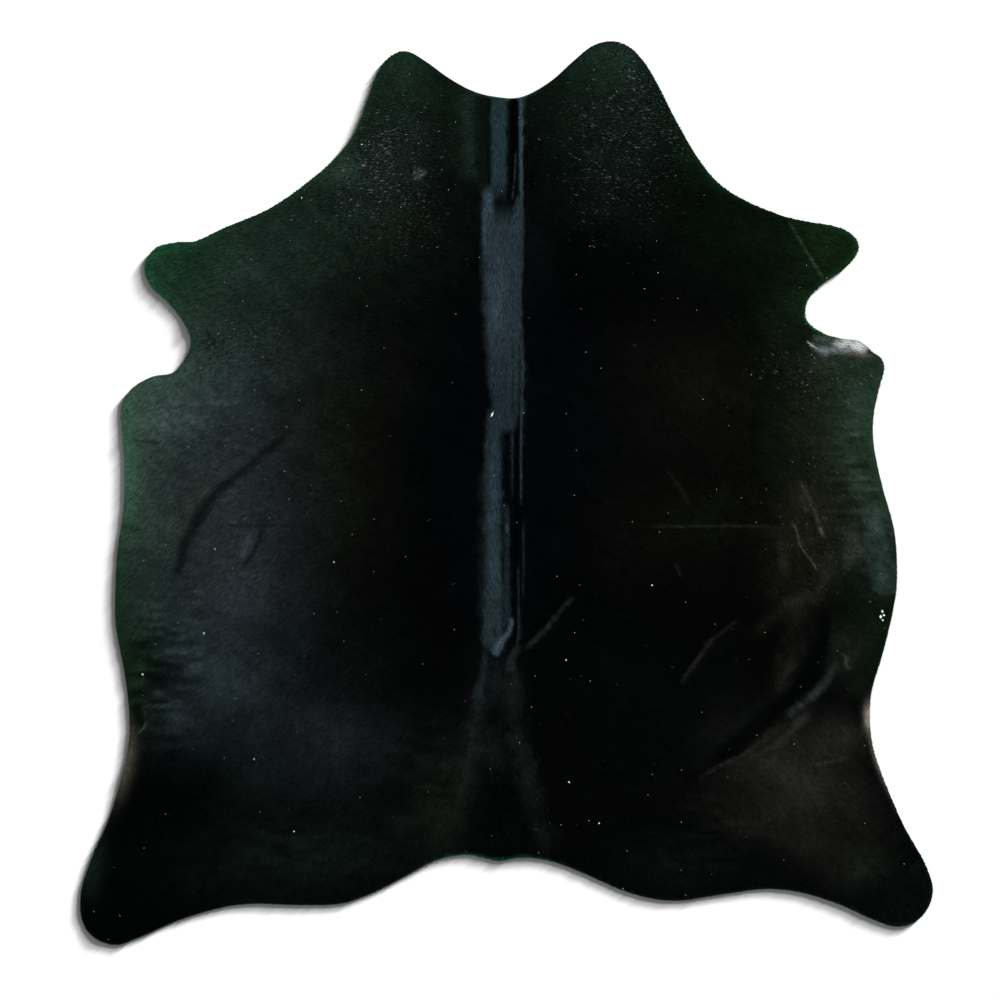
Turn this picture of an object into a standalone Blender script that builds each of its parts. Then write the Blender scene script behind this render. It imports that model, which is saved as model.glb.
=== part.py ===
"""A black-dyed cowhide rug with its hair on, trimmed to a smooth outline and lying flat.

It is one skin in one piece, so it is one closed solid: leather and coat together, flat on its
underside except where a fold lifts it. Metres, +Z up. The neck points towards +Y, and the origin
is on the floor under the middle of the hide's box.
"""

import math
from collections import namedtuple

import bmesh
import bpy
import numpy as np
from mathutils import Vector, geometry

LEATHER = 0.0020  # the tanned skin
COAT = 0.0025  # short hair, lying down
THICKNESS = LEATHER + COAT

RIM_STEP = 0.016  # between points along the trimmed edge
FOLD_STEP = 0.026  # between stations along a fold
FIELD_STEP = 0.085  # between points where the hide lies flat
LEAST_GAP = 0.0075  # no two points lie closer than this
FIELD_GAP = 0.040  # a point of the flat field keeps this far from a fold or the edge
CREST_STEP = 0.004  # between the points of a crest from which heights are worked out
SAME_POINT = 1e-6  # points closer than this are one
ROWS_ACROSS = (-0.5, 0.5, 0.0, -0.25, 0.25)  # shares of a fold's width: feet, crest, slopes

SHARP_ANGLE = math.radians(40)  # the trimmed edge is sharp, the folds are smooth
COAT_BLACK = (0.012, 0.014, 0.015, 1.0)
COAT_ROUGHNESS = 0.42

# The trimmed edge, clockwise seen from above, from the middle of the neck. Each stretch lists the
# points that its shape needs, (x, y), and a smooth closed curve runs through all of them.
OUTLINE = {
    "neck edge, right half": ((0.033, 0.964), (0.104, 1.001), (0.162, 1.052), (0.209, 1.089)),
    "right cheek": ((0.254, 1.100), (0.296, 1.088), (0.330, 1.056), (0.358, 1.014)),
    "right side of the neck": ((0.417, 0.900), (0.473, 0.806), (0.522, 0.750), (0.584, 0.711)),
    "right foreleg, front": ((0.673, 0.675), (0.722, 0.663), (0.798, 0.650), (0.839, 0.631)),
    "right foreleg, back": ((0.858, 0.596), (0.826, 0.548), (0.773, 0.511), (0.736, 0.472)),
    "right armpit": ((0.728, 0.443), (0.732, 0.420), (0.767, 0.391), (0.814, 0.377)),
    "right elbow": ((0.860, 0.370), (0.890, 0.344), (0.909, 0.331), (0.920, 0.307), (0.909, 0.260)),
    "right side": ((0.894, 0.190), (0.894, 0.120), (0.915, 0.017), (0.944, -0.090)),
    "right belly": ((0.951, -0.183), (0.946, -0.260), (0.920, -0.377), (0.889, -0.484)),
    "right flank": ((0.885, -0.557), (0.894, -0.623), (0.921, -0.702), (0.968, -0.810)),
    "right hind leg": ((1.020, -0.904), (1.038, -0.971), (1.010, -1.032), (0.955, -1.056)),
    "right hind leg, inside": ((0.895, -1.040), (0.812, -1.003), (0.717, -0.973), (0.632, -0.964)),
    "right buttock": ((0.520, -0.978), (0.408, -0.993), (0.325, -0.981), (0.266, -0.961)),
    "tail, right half": ((0.151, -0.911), (0.091, -0.893), (0.033, -0.888)),
    "tail, left half": ((-0.018, -0.896), (-0.057, -0.888), (-0.097, -0.881), (-0.167, -0.893)),
    "left buttock": ((-0.257, -0.939), (-0.330, -0.976), (-0.405, -1.000), (-0.520, -1.003)),
    "left hind leg, inside": ((-0.607, -1.000), (-0.685, -1.008), (-0.796, -1.040)),
    "left hind leg": ((-0.891, -1.081), (-0.958, -1.100), (-1.022, -1.064), (-1.038, -0.987)),
    "left flank": ((-1.014, -0.898), (-0.970, -0.796), (-0.936, -0.685), (-0.919, -0.596)),
    "left belly": ((-0.920, -0.518), (-0.931, -0.433), (-0.950, -0.333), (-0.953, -0.260)),
    "left side": ((-0.947, -0.136), (-0.933, -0.043), (-0.930, 0.051), (-0.936, 0.144)),
    "left elbow": ((-0.938, 0.209), (-0.914, 0.253), (-0.863, 0.284), (-0.810, 0.295)),
    "left armpit": ((-0.778, 0.335), (-0.769, 0.372), (-0.789, 0.419), (-0.831, 0.470)),
    "left foreleg": ((-0.863, 0.499), (-0.882, 0.550), (-0.856, 0.595), (-0.797, 0.612)),
    "left shoulder": ((-0.760, 0.613), (-0.685, 0.647), (-0.574, 0.695), (-0.456, 0.780)),
    "left side of the neck": ((-0.388, 0.849), (-0.359, 0.904), (-0.315, 1.022)),
    "left cheek": ((-0.286, 1.061), (-0.245, 1.076), (-0.196, 1.051), (-0.142, 1.012)),
    "neck edge, left half": ((-0.086, 0.981), (-0.033, 0.966)),
}

# A fold's crest passes through its start, its middle and its end. Its width is from foot to foot.
Fold = namedtuple("Fold", "name start middle end width height")
FOLDS = (
    Fold("spine", (-0.012, 0.985), (-0.008, 0.275), (-0.026, -0.400), 0.104, 0.0040),
    Fold("spine edge", (0.038, 0.985), (0.041, 0.251), (0.028, -0.385), 0.026, 0.0040),
    Fold("spine tail", (0.040, -0.382), (0.103, -0.324), (0.159, -0.256), 0.030, 0.0055),
    Fold("left rump", (-0.050, -0.385), (-0.091, -0.625), (-0.152, -0.854), 0.052, 0.0035),
    Fold("right rump", (0.010, -0.385), (0.047, -0.613), (0.072, -0.837), 0.052, 0.0035),
    Fold("left flank, outer", (-0.561, 0.134), (-0.736, 0.010), (-0.819, -0.200), 0.048, 0.0075),
    Fold("left flank, inner", (-0.532, 0.105), (-0.705, -0.034), (-0.772, -0.236), 0.048, 0.0045),
    Fold("left flank, short", (-0.624, -0.070), (-0.639, -0.117), (-0.663, -0.166), 0.034, 0.0045),
    Fold("left flank, second", (-0.576, -0.068), (-0.590, -0.110), (-0.608, -0.150), 0.034, 0.0030),
    Fold("right flank, level", (0.430, -0.088), (0.568, -0.083), (0.700, -0.070), 0.036, 0.0055),
    Fold("right flank, drop", (0.695, -0.071), (0.724, -0.129), (0.766, -0.230), 0.034, 0.0045),
    Fold("right flank, chain", (0.706, 0.008), (0.763, -0.092), (0.790, -0.230), 0.034, 0.0045),
    Fold("right flank, upper", (0.382, 0.062), (0.425, 0.007), (0.454, -0.052), 0.034, 0.0035),
    Fold("right flank, slant", (0.412, -0.478), (0.478, -0.387), (0.566, -0.312), 0.036, 0.0065),
    Fold("right thigh, crest", (0.832, -0.388), (0.649, -0.572), (0.418, -0.730), 0.056, 0.0115),
    Fold("right thigh, upper", (0.738, -0.248), (0.680, -0.423), (0.516, -0.548), 0.062, 0.0075),
    Fold("right thigh, lower", (0.730, -0.552), (0.627, -0.642), (0.494, -0.724), 0.036, 0.0045),
    Fold("right thigh, edge", (0.866, -0.496), (0.864, -0.557), (0.872, -0.622), 0.040, 0.0045),
    Fold("right foreleg", (0.682, 0.676), (0.729, 0.599), (0.785, 0.508), 0.032, 0.0050),
    Fold("right armpit", (0.738, 0.380), (0.814, 0.357), (0.892, 0.326), 0.050, 0.0060),
    Fold("right belly", (0.852, -0.199), (0.904, -0.219), (0.948, -0.243), 0.034, 0.0035),
    Fold("right shank, upper", (0.912, -0.838), (0.945, -0.818), (0.978, -0.797), 0.040, 0.0055),
    Fold("right shank, lower", (0.958, -0.917), (0.992, -0.893), (1.024, -0.870), 0.040, 0.0055),
    Fold("left side", (-0.934, 0.127), (-0.880, 0.126), (-0.826, 0.121), 0.034, 0.0035),
    Fold("left armpit, upper", (-0.784, 0.400), (-0.731, 0.411), (-0.667, 0.430), 0.034, 0.0035),
    Fold("left armpit, lower", (-0.766, 0.354), (-0.709, 0.365), (-0.643, 0.379), 0.034, 0.0045),
    Fold("left thigh", (-0.692, -0.856), (-0.634, -0.879), (-0.576, -0.908), 0.044, 0.0045),
    Fold("left buttock", (-0.614, -0.925), (-0.546, -0.939), (-0.476, -0.958), 0.044, 0.0045),
)


def clear_scene():
    for thing in list(bpy.data.objects):
        bpy.data.objects.remove(thing, do_unlink=True)


def principled(name, color, roughness):
    material = bpy.data.materials.new(name)
    material.use_nodes = True
    shader = material.node_tree.nodes["Principled BSDF"]
    shader.inputs["Base Color"].default_value = color
    shader.inputs["Roughness"].default_value = roughness
    shader.inputs["Metallic"].default_value = 0.0
    return material


def smooth_rim():
    """The closed curve through the outline's points, as points RIM_STEP or so apart."""
    knots = [Vector(point) for stretch in OUTLINE.values() for point in stretch]
    rim = []
    for index, knot in enumerate(knots):
        before = knots[index - 1]
        after = knots[(index + 1) % len(knots)]
        beyond = knots[(index + 2) % len(knots)]
        span = (after - knot).length
        leaving = knot + (after - before).normalized() * span / 3
        arriving = after - (beyond - knot).normalized() * span / 3
        pieces = max(2, round(span / RIM_STEP))
        rim += geometry.interpolate_bezier(knot, leaving, arriving, after, pieces + 1)[:-1]
    return np.array(rim)


def crest_line(fold, step):
    """Points along a fold's crest, and the direction across it at each."""
    start, middle, end = (np.array(point) for point in (fold.start, fold.middle, fold.end))
    bend = 2 * middle - (start + end) / 2
    length = np.linalg.norm(middle - start) + np.linalg.norm(end - middle)
    t = np.linspace(0.0, 1.0, max(4, round(length / step)) + 1)[:, None]
    line = (1 - t) ** 2 * start + 2 * t * (1 - t) * bend + t**2 * end
    along = 2 * (1 - t) * (bend - start) + 2 * t * (end - bend)
    along /= np.linalg.norm(along, axis=1)[:, None]
    return line, along[:, ::-1] * (-1.0, 1.0)


def fold_heights(points):
    """How far the folds lift the hide at each (x, y): a soft hump across, faded at both ends."""
    heights = np.zeros(len(points))
    for fold in FOLDS:
        line, _ = crest_line(fold, CREST_STEP)
        gaps = np.linalg.norm(points[:, None] - line[None], axis=2)
        share_along = gaps.argmin(axis=1) / (len(line) - 1)
        share_across = np.minimum(gaps.min(axis=1) / fold.width, 0.5)
        hump = np.cos(math.pi * share_across) ** 2
        heights += fold.height * np.sqrt(np.sin(math.pi * share_along)) * hump
    return heights


def flat_field(low, high):
    """A grid of points in staggered rows over the whole box."""
    row_step = FIELD_STEP * math.sqrt(3) / 2
    rows = np.arange(low[1], high[1], row_step)
    return [
        (x + (number % 2) * FIELD_STEP / 2, y)
        for number, y in enumerate(rows)
        for x in np.arange(low[0], high[0], FIELD_STEP)
    ]


def add_spaced(kept, extra, gap):
    """The kept points with those extra ones that lie farther than gap from every point so far."""
    for point in extra:
        if np.linalg.norm(kept - point, axis=1).min() > gap:
            kept = np.vstack((kept, point))
    return kept


def hide_sheet():
    """The hide seen from above, as triangles: its points, its faces and the middle of its box."""
    rim = smooth_rim()
    points = rim
    for fold in FOLDS:
        line, across = crest_line(fold, FOLD_STEP)
        for share in ROWS_ACROSS:
            points = add_spaced(points, line + across * share * fold.width, LEAST_GAP)
    points = add_spaced(points, flat_field(rim.min(axis=0), rim.max(axis=0)), FIELD_GAP)
    rim_face = [list(range(len(rim)))]
    spots = [Vector(point) for point in points]
    inside_rim = 1
    spots, _, faces, *_ = geometry.delaunay_2d_cdt(spots, [], rim_face, inside_rim, SAME_POINT)
    return np.array(spots), faces, (rim.min(axis=0) + rim.max(axis=0)) / 2


def build_hide():
    spots, faces, centre = hide_sheet()
    heights = fold_heights(spots)
    work = bmesh.new()
    used = {index for face in faces for index in face}
    vertices = {i: work.verts.new((*(spots[i] - centre), heights[i])) for i in sorted(used)}
    underside = [work.faces.new([vertices[i] for i in face]) for face in faces]
    grown = bmesh.ops.extrude_face_region(work, geom=underside, use_keep_orig=True)
    top = [part for part in grown["geom"] if isinstance(part, bmesh.types.BMVert)]
    bmesh.ops.translate(work, vec=(0.0, 0.0, THICKNESS), verts=top)
    bmesh.ops.triangulate(work, faces=work.faces[:])
    bmesh.ops.recalc_face_normals(work, faces=work.faces[:])
    mesh = bpy.data.meshes.new("hide")
    work.to_mesh(mesh)
    work.free()
    mesh.shade_smooth()
    mesh.set_sharp_from_angle(angle=SHARP_ANGLE)
    mesh.materials.append(principled("black hair-on cowhide", COAT_BLACK, COAT_ROUGHNESS))
    hide = bpy.data.objects.new("hide", mesh)
    bpy.context.scene.collection.objects.link(hide)
    return hide


clear_scene()
build_hide()
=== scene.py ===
# %% [markdown]
# # A black hair-on cowhide rug
#
# A whole tanned skin with its coat still on, dyed black, trimmed round the edge and laid out flat.
# To the eye it is almost one dark colour, so everything that tells you "cowhide" is in how the short
# hair lies: sleek and lengthwise along the backbone, fanning out to the flanks, and breaking where
# the skin is folded. This lesson builds the skin first, then grows a coat of small locks over it
# with Geometry Nodes, and colours each lock by where its root stands: its dye, with the sheen and
# shade of the hair painted into it.

import math
from collections import namedtuple

import bmesh
import bpy
import numpy as np
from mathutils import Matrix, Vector, geometry
from mathutils.bvhtree import BVHTree
from mathutils.kdtree import KDTree


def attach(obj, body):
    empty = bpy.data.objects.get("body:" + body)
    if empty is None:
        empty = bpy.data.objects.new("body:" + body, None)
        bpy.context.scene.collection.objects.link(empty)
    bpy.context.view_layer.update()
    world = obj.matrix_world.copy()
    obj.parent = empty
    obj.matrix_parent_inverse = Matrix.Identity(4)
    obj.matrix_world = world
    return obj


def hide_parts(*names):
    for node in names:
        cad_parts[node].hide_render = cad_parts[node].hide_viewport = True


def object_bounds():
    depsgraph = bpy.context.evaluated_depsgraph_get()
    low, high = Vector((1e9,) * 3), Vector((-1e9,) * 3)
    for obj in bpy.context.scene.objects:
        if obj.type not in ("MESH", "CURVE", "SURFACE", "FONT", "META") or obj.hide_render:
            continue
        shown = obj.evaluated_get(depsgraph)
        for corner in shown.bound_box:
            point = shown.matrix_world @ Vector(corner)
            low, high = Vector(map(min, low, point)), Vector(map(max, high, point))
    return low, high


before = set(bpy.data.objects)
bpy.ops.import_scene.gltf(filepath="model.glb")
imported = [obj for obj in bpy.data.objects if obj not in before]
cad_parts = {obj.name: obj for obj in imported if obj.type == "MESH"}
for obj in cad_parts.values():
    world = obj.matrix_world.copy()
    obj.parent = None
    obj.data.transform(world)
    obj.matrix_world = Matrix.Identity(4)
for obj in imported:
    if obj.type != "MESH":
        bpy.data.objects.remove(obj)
solid_low, solid_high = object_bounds()
solid_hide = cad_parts["hide"]
print("solid hide, metres:", [round(side, 4) for side in solid_high - solid_low])

# %% [markdown]
# ## The camera, the floor and the light
#
# The hide is seen from straight above. A long lens far away keeps the view flat, as in a picture
# taken from a gantry. The camera could also be orthographic, but a real lens behaves the same in
# every view. The floor is a plain white sheet.
#
# A black coat and a white floor want different light, so each has its own lamps, which Blender's
# light linking allows. Two low suns from the upper right light the floor, a lower one and a higher,
# softer one, so that the hide's shadow to the lower left fades out evenly. Two lamps low on the
# right graze the coat: hair that lies across their light shines faintly, and hair that lies along
# it stays black, while most of the coat's sheen is painted into the colour of the hair. A large dim
# lamp from above fills the rest.

# %% Camera
LENS = 85.0  # millimetres
SENSOR = 36.0
PICTURE_SIDE = 2.4336  # metres of floor from one side of the picture to the other
PICTURE_MIDDLE = (-0.0158, -0.0170)

camera = bpy.data.objects.new("camera", bpy.data.cameras.new("camera"))
camera.data.lens = LENS
camera.data.sensor_width = SENSOR
camera.data.clip_end = 100.0
camera_height = PICTURE_SIDE * LENS / SENSOR
camera.location = (*PICTURE_MIDDLE, camera_height + solid_low.z)
bpy.context.scene.collection.objects.link(camera)
bpy.context.scene.camera = camera
print("camera height:", round(camera_height, 3))


# %% A few small helpers
def linear(code):
    """An sRGB hex colour as the linear red, green and blue that Blender works in."""
    shares = np.array([int(code[place:place + 2], 16) for place in (1, 3, 5)]) / 255
    return np.where(shares <= 0.04045, shares / 12.92, ((shares + 0.055) / 1.055) ** 2.4)


def add_node(tree, kind, inputs=None, **settings):
    """Adds a node with its settings. An input that is given a socket is linked, else it is set."""
    node = tree.nodes.new(kind)
    for name, value in settings.items():
        setattr(node, name, value)
    for name, value in (inputs or {}).items():
        if isinstance(value, bpy.types.NodeSocket):
            tree.links.new(value, node.inputs[name])
        else:
            node.inputs[name].default_value = value
    return node


def new_material(name, **values):
    """A Principled material. Each value is set on the shader's own socket."""
    material = bpy.data.materials.new(name)
    material.use_nodes = True
    shader = material.node_tree.nodes["Principled BSDF"]
    for socket, value in values.items():
        shader.inputs[socket.replace("_", " ")].default_value = value
    return material, material.node_tree, shader


def two_tones(tree, shader, value, low, high):
    """Gives a shader a colour that runs with a pattern. Each end is a place on it and a tone."""
    mixed = add_node(tree, "ShaderNodeValToRGB", {"Fac": value})
    for stop, (place, tone) in zip(mixed.color_ramp.elements, (low, high)):
        stop.position = place
        stop.color = (*linear(tone), 1.0)
    tree.links.new(mixed.outputs["Color"], shader.inputs["Base Color"])


def relief(tree, shader, height, strength, distance):
    """Gives a shader bumps that follow a pattern."""
    bumps = add_node(tree, "ShaderNodeBump",
                     {"Height": height, "Strength": strength, "Distance": distance})
    tree.links.new(bumps.outputs[0], shader.inputs["Normal"])


def new_object(name, mesh):
    thing = bpy.data.objects.new(name, mesh)
    bpy.context.scene.collection.objects.link(thing)
    return thing


# %% Floor
FLOOR_SIDE = 60.0
FLOOR_GAP = 0.0004  # below the hide, so that the two surfaces never share a plane

floor_mesh = bpy.data.meshes.new("floor")
half = FLOOR_SIDE / 2
floor_level = solid_low.z - FLOOR_GAP
floor_corners = [(-half, -half), (half, -half), (half, half), (-half, half)]
floor_mesh.from_pydata([(x, y, floor_level) for x, y in floor_corners], [], [(0, 1, 2, 3)])
floor = new_object("floor", floor_mesh)
floor_paint, _, _ = new_material(
    "matt white paint", Base_Color=(0.97, 0.97, 0.97, 1.0), Roughness=0.9, Specular_IOR_Level=0.0
)
floor_mesh.materials.append(floor_paint)
print("floor level, metres:", round(floor_level, 4))

# %% Lamps and sky
SKY_LIGHT = 0.15  # what the white sky adds to the lamps

hide_group = bpy.data.collections.new("lit by the coat lamps")
floor_group = bpy.data.collections.new("lit by the floor suns")
floor_group.objects.link(floor)


def aim(lamp, azimuth, elevation, distance=0.0):
    """Places a lamp by degrees from +X and degrees above the floor, and turns it to the hide."""
    turn, lift = math.radians(azimuth), math.radians(elevation)
    away = Vector((math.cos(turn) * math.cos(lift), math.sin(turn) * math.cos(lift), math.sin(lift)))
    lamp.location = away * distance
    lamp.rotation_euler = away.to_track_quat("Z", "Y").to_euler()


def new_lamp(name, kind, strength, group, **settings):
    lamp = bpy.data.objects.new(name, bpy.data.lights.new(name, kind))
    lamp.data.energy = strength
    for setting, value in settings.items():
        setattr(lamp.data, setting, value)
    lamp.light_linking.receiver_collection = group
    bpy.context.scene.collection.objects.link(lamp)
    return lamp


low_sun = new_lamp("low floor sun", "SUN", 19.1, floor_group, angle=math.radians(3.0))
aim(low_sun, azimuth=45, elevation=4.7)
high_sun = new_lamp("high floor sun", "SUN", 8.1, floor_group, angle=math.radians(8))
aim(high_sun, azimuth=45, elevation=9.5)
key = new_lamp("key", "AREA", 212, hide_group, shape="DISK", size=2.2, color=(0.86, 0.97, 1.0))
aim(key, azimuth=-56, elevation=26, distance=4.2)
side = new_lamp("side", "AREA", 169, hide_group, shape="DISK", size=1.6, color=(0.80, 0.94, 1.0))
aim(side, azimuth=0, elevation=26, distance=4.2)
fill = new_lamp("fill", "AREA", 190, hide_group, shape="DISK", size=4.0)
aim(fill, azimuth=120, elevation=70, distance=4.6)
fill.visible_glossy = False

sky = bpy.data.worlds.new("studio")
sky.use_nodes = True
sky.cycles_visibility.glossy = False
bpy.context.scene.world = sky
sky_tree = sky.node_tree
sky_tree.nodes["Background"].inputs["Color"].default_value = (1.0, 1.0, 1.0, 1.0)
sky_tree.nodes["Background"].inputs["Strength"].default_value = SKY_LIGHT
seen = add_node(sky_tree, "ShaderNodeBackground", {"Color": (1.0, 1.0, 1.0, 1.0), "Strength": 1.0})
sky_ray = add_node(sky_tree, "ShaderNodeLightPath")
sky_mix = add_node(sky_tree, "ShaderNodeMixShader", {
    0: sky_ray.outputs["Is Camera Ray"],
    1: sky_tree.nodes["Background"].outputs["Background"],
    2: seen.outputs["Background"],
})
sky_tree.links.new(sky_mix.outputs[0], sky_tree.nodes["World Output"].inputs["Surface"])
bpy.context.scene.view_settings.view_transform = "Standard"
print("lamps:", [lamp.name for lamp in (low_sun, high_sun, key, side, fill)])

# %% [markdown]
# ## The skin
#
# Under the hair is one sheet of tanned leather about 2 mm thick. It could be a subdivided copy of
# the solid, but that is coarse in the flat parts, where the coat still needs a soft unevenness. So
# the sheet gets points of its own: a closely stepped rim, rows of points along each crease, and an
# even field between. Blender's Delaunay call joins them into clean triangles inside the rim. Each
# point takes its height from the solid by a ray from above, less the depth of the coat, so the
# sheet lies on the same folds.

# %% Sizes of the skin
COAT = 0.0025  # depth of the short hair, lying down
RIM_STEP = 0.005
RIM_INSET = 0.0012  # the hair reaches a little past the cut
FIELD_STEP = 0.0092
CREASE_STEP = 0.007
SAME_POINT = 1e-6
EDGE_UP = 0.3  # the normals of the cut edge point up less than this
TOP_UP = 0.5  # and those of the top more than this


def merged_copy(node):
    """The solid's triangles joined into one mesh, as a bmesh."""
    work = bmesh.new()
    work.from_mesh(node.data)
    bmesh.ops.remove_doubles(work, verts=work.verts, dist=SAME_POINT)
    work.normal_update()
    return work


def upper_rim(work):
    """The closed loop of points where the solid's top meets its cut edge."""
    links = {}
    for edge in work.edges:
        slopes = sorted(abs(face.normal.z) for face in edge.link_faces)
        upward = max(face.normal.z for face in edge.link_faces)
        if slopes[0] < EDGE_UP < slopes[1] and upward > TOP_UP:
            one, other = edge.verts
            links.setdefault(one, []).append(other)
            links.setdefault(other, []).append(one)
    start = next(iter(links))
    loop, last, here = [start], None, start
    while True:
        step = next(vert for vert in links[here] if vert is not last)
        if step is start:
            break
        loop.append(step)
        last, here = here, step
    return np.array([vert.co.xy for vert in loop])


def curve_through(before, here, after, beyond, cuts):
    """A smooth curve from each point here to the one after, each such span cut so many times."""
    shares = np.linspace(0, 1, cuts, endpoint=False)[:, None, None]
    fine = 0.5 * (
        2 * here + (after - before) * shares
        + (2 * before - 5 * here + 4 * after - beyond) * shares**2
        + (3 * here - before - 3 * after + beyond) * shares**3
    )
    return fine.transpose(1, 0, 2).reshape(-1, 2)


def smooth_closed(points, step):
    """A smooth closed curve through the points, cut into even steps."""
    fine = curve_through(*(np.roll(points, shift, axis=0) for shift in (1, 0, -1, -2)), cuts=8)
    return even_steps(np.vstack((fine, fine[:1])), step)[:-1]


def even_steps(line, step):
    """The points of a line set out at even steps, both ends kept."""
    run = np.concatenate(([0.0], np.cumsum(np.linalg.norm(np.diff(line, axis=0), axis=1))))
    marks = np.linspace(0, run[-1], max(2, round(run[-1] / step) + 1))
    return np.stack([np.interp(marks, run, line[:, axis]) for axis in (0, 1)], axis=1)


solid = merged_copy(solid_hide)
solid_tree = BVHTree.FromBMesh(solid)
outer_rim = smooth_closed(upper_rim(solid), RIM_STEP)
along = np.roll(outer_rim, -1, axis=0) - np.roll(outer_rim, 1, axis=0)
along /= np.linalg.norm(along, axis=1)[:, None]
turns_left = np.sum(outer_rim[:, 0] * along[:, 1] - outer_rim[:, 1] * along[:, 0]) > 0
inward = along[:, ::-1] * ((-1.0, 1.0) if turns_left else (1.0, -1.0))
rim = outer_rim + inward * RIM_INSET
print("rim points:", len(rim), "rim length:", round(len(rim) * RIM_STEP, 2))
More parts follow.
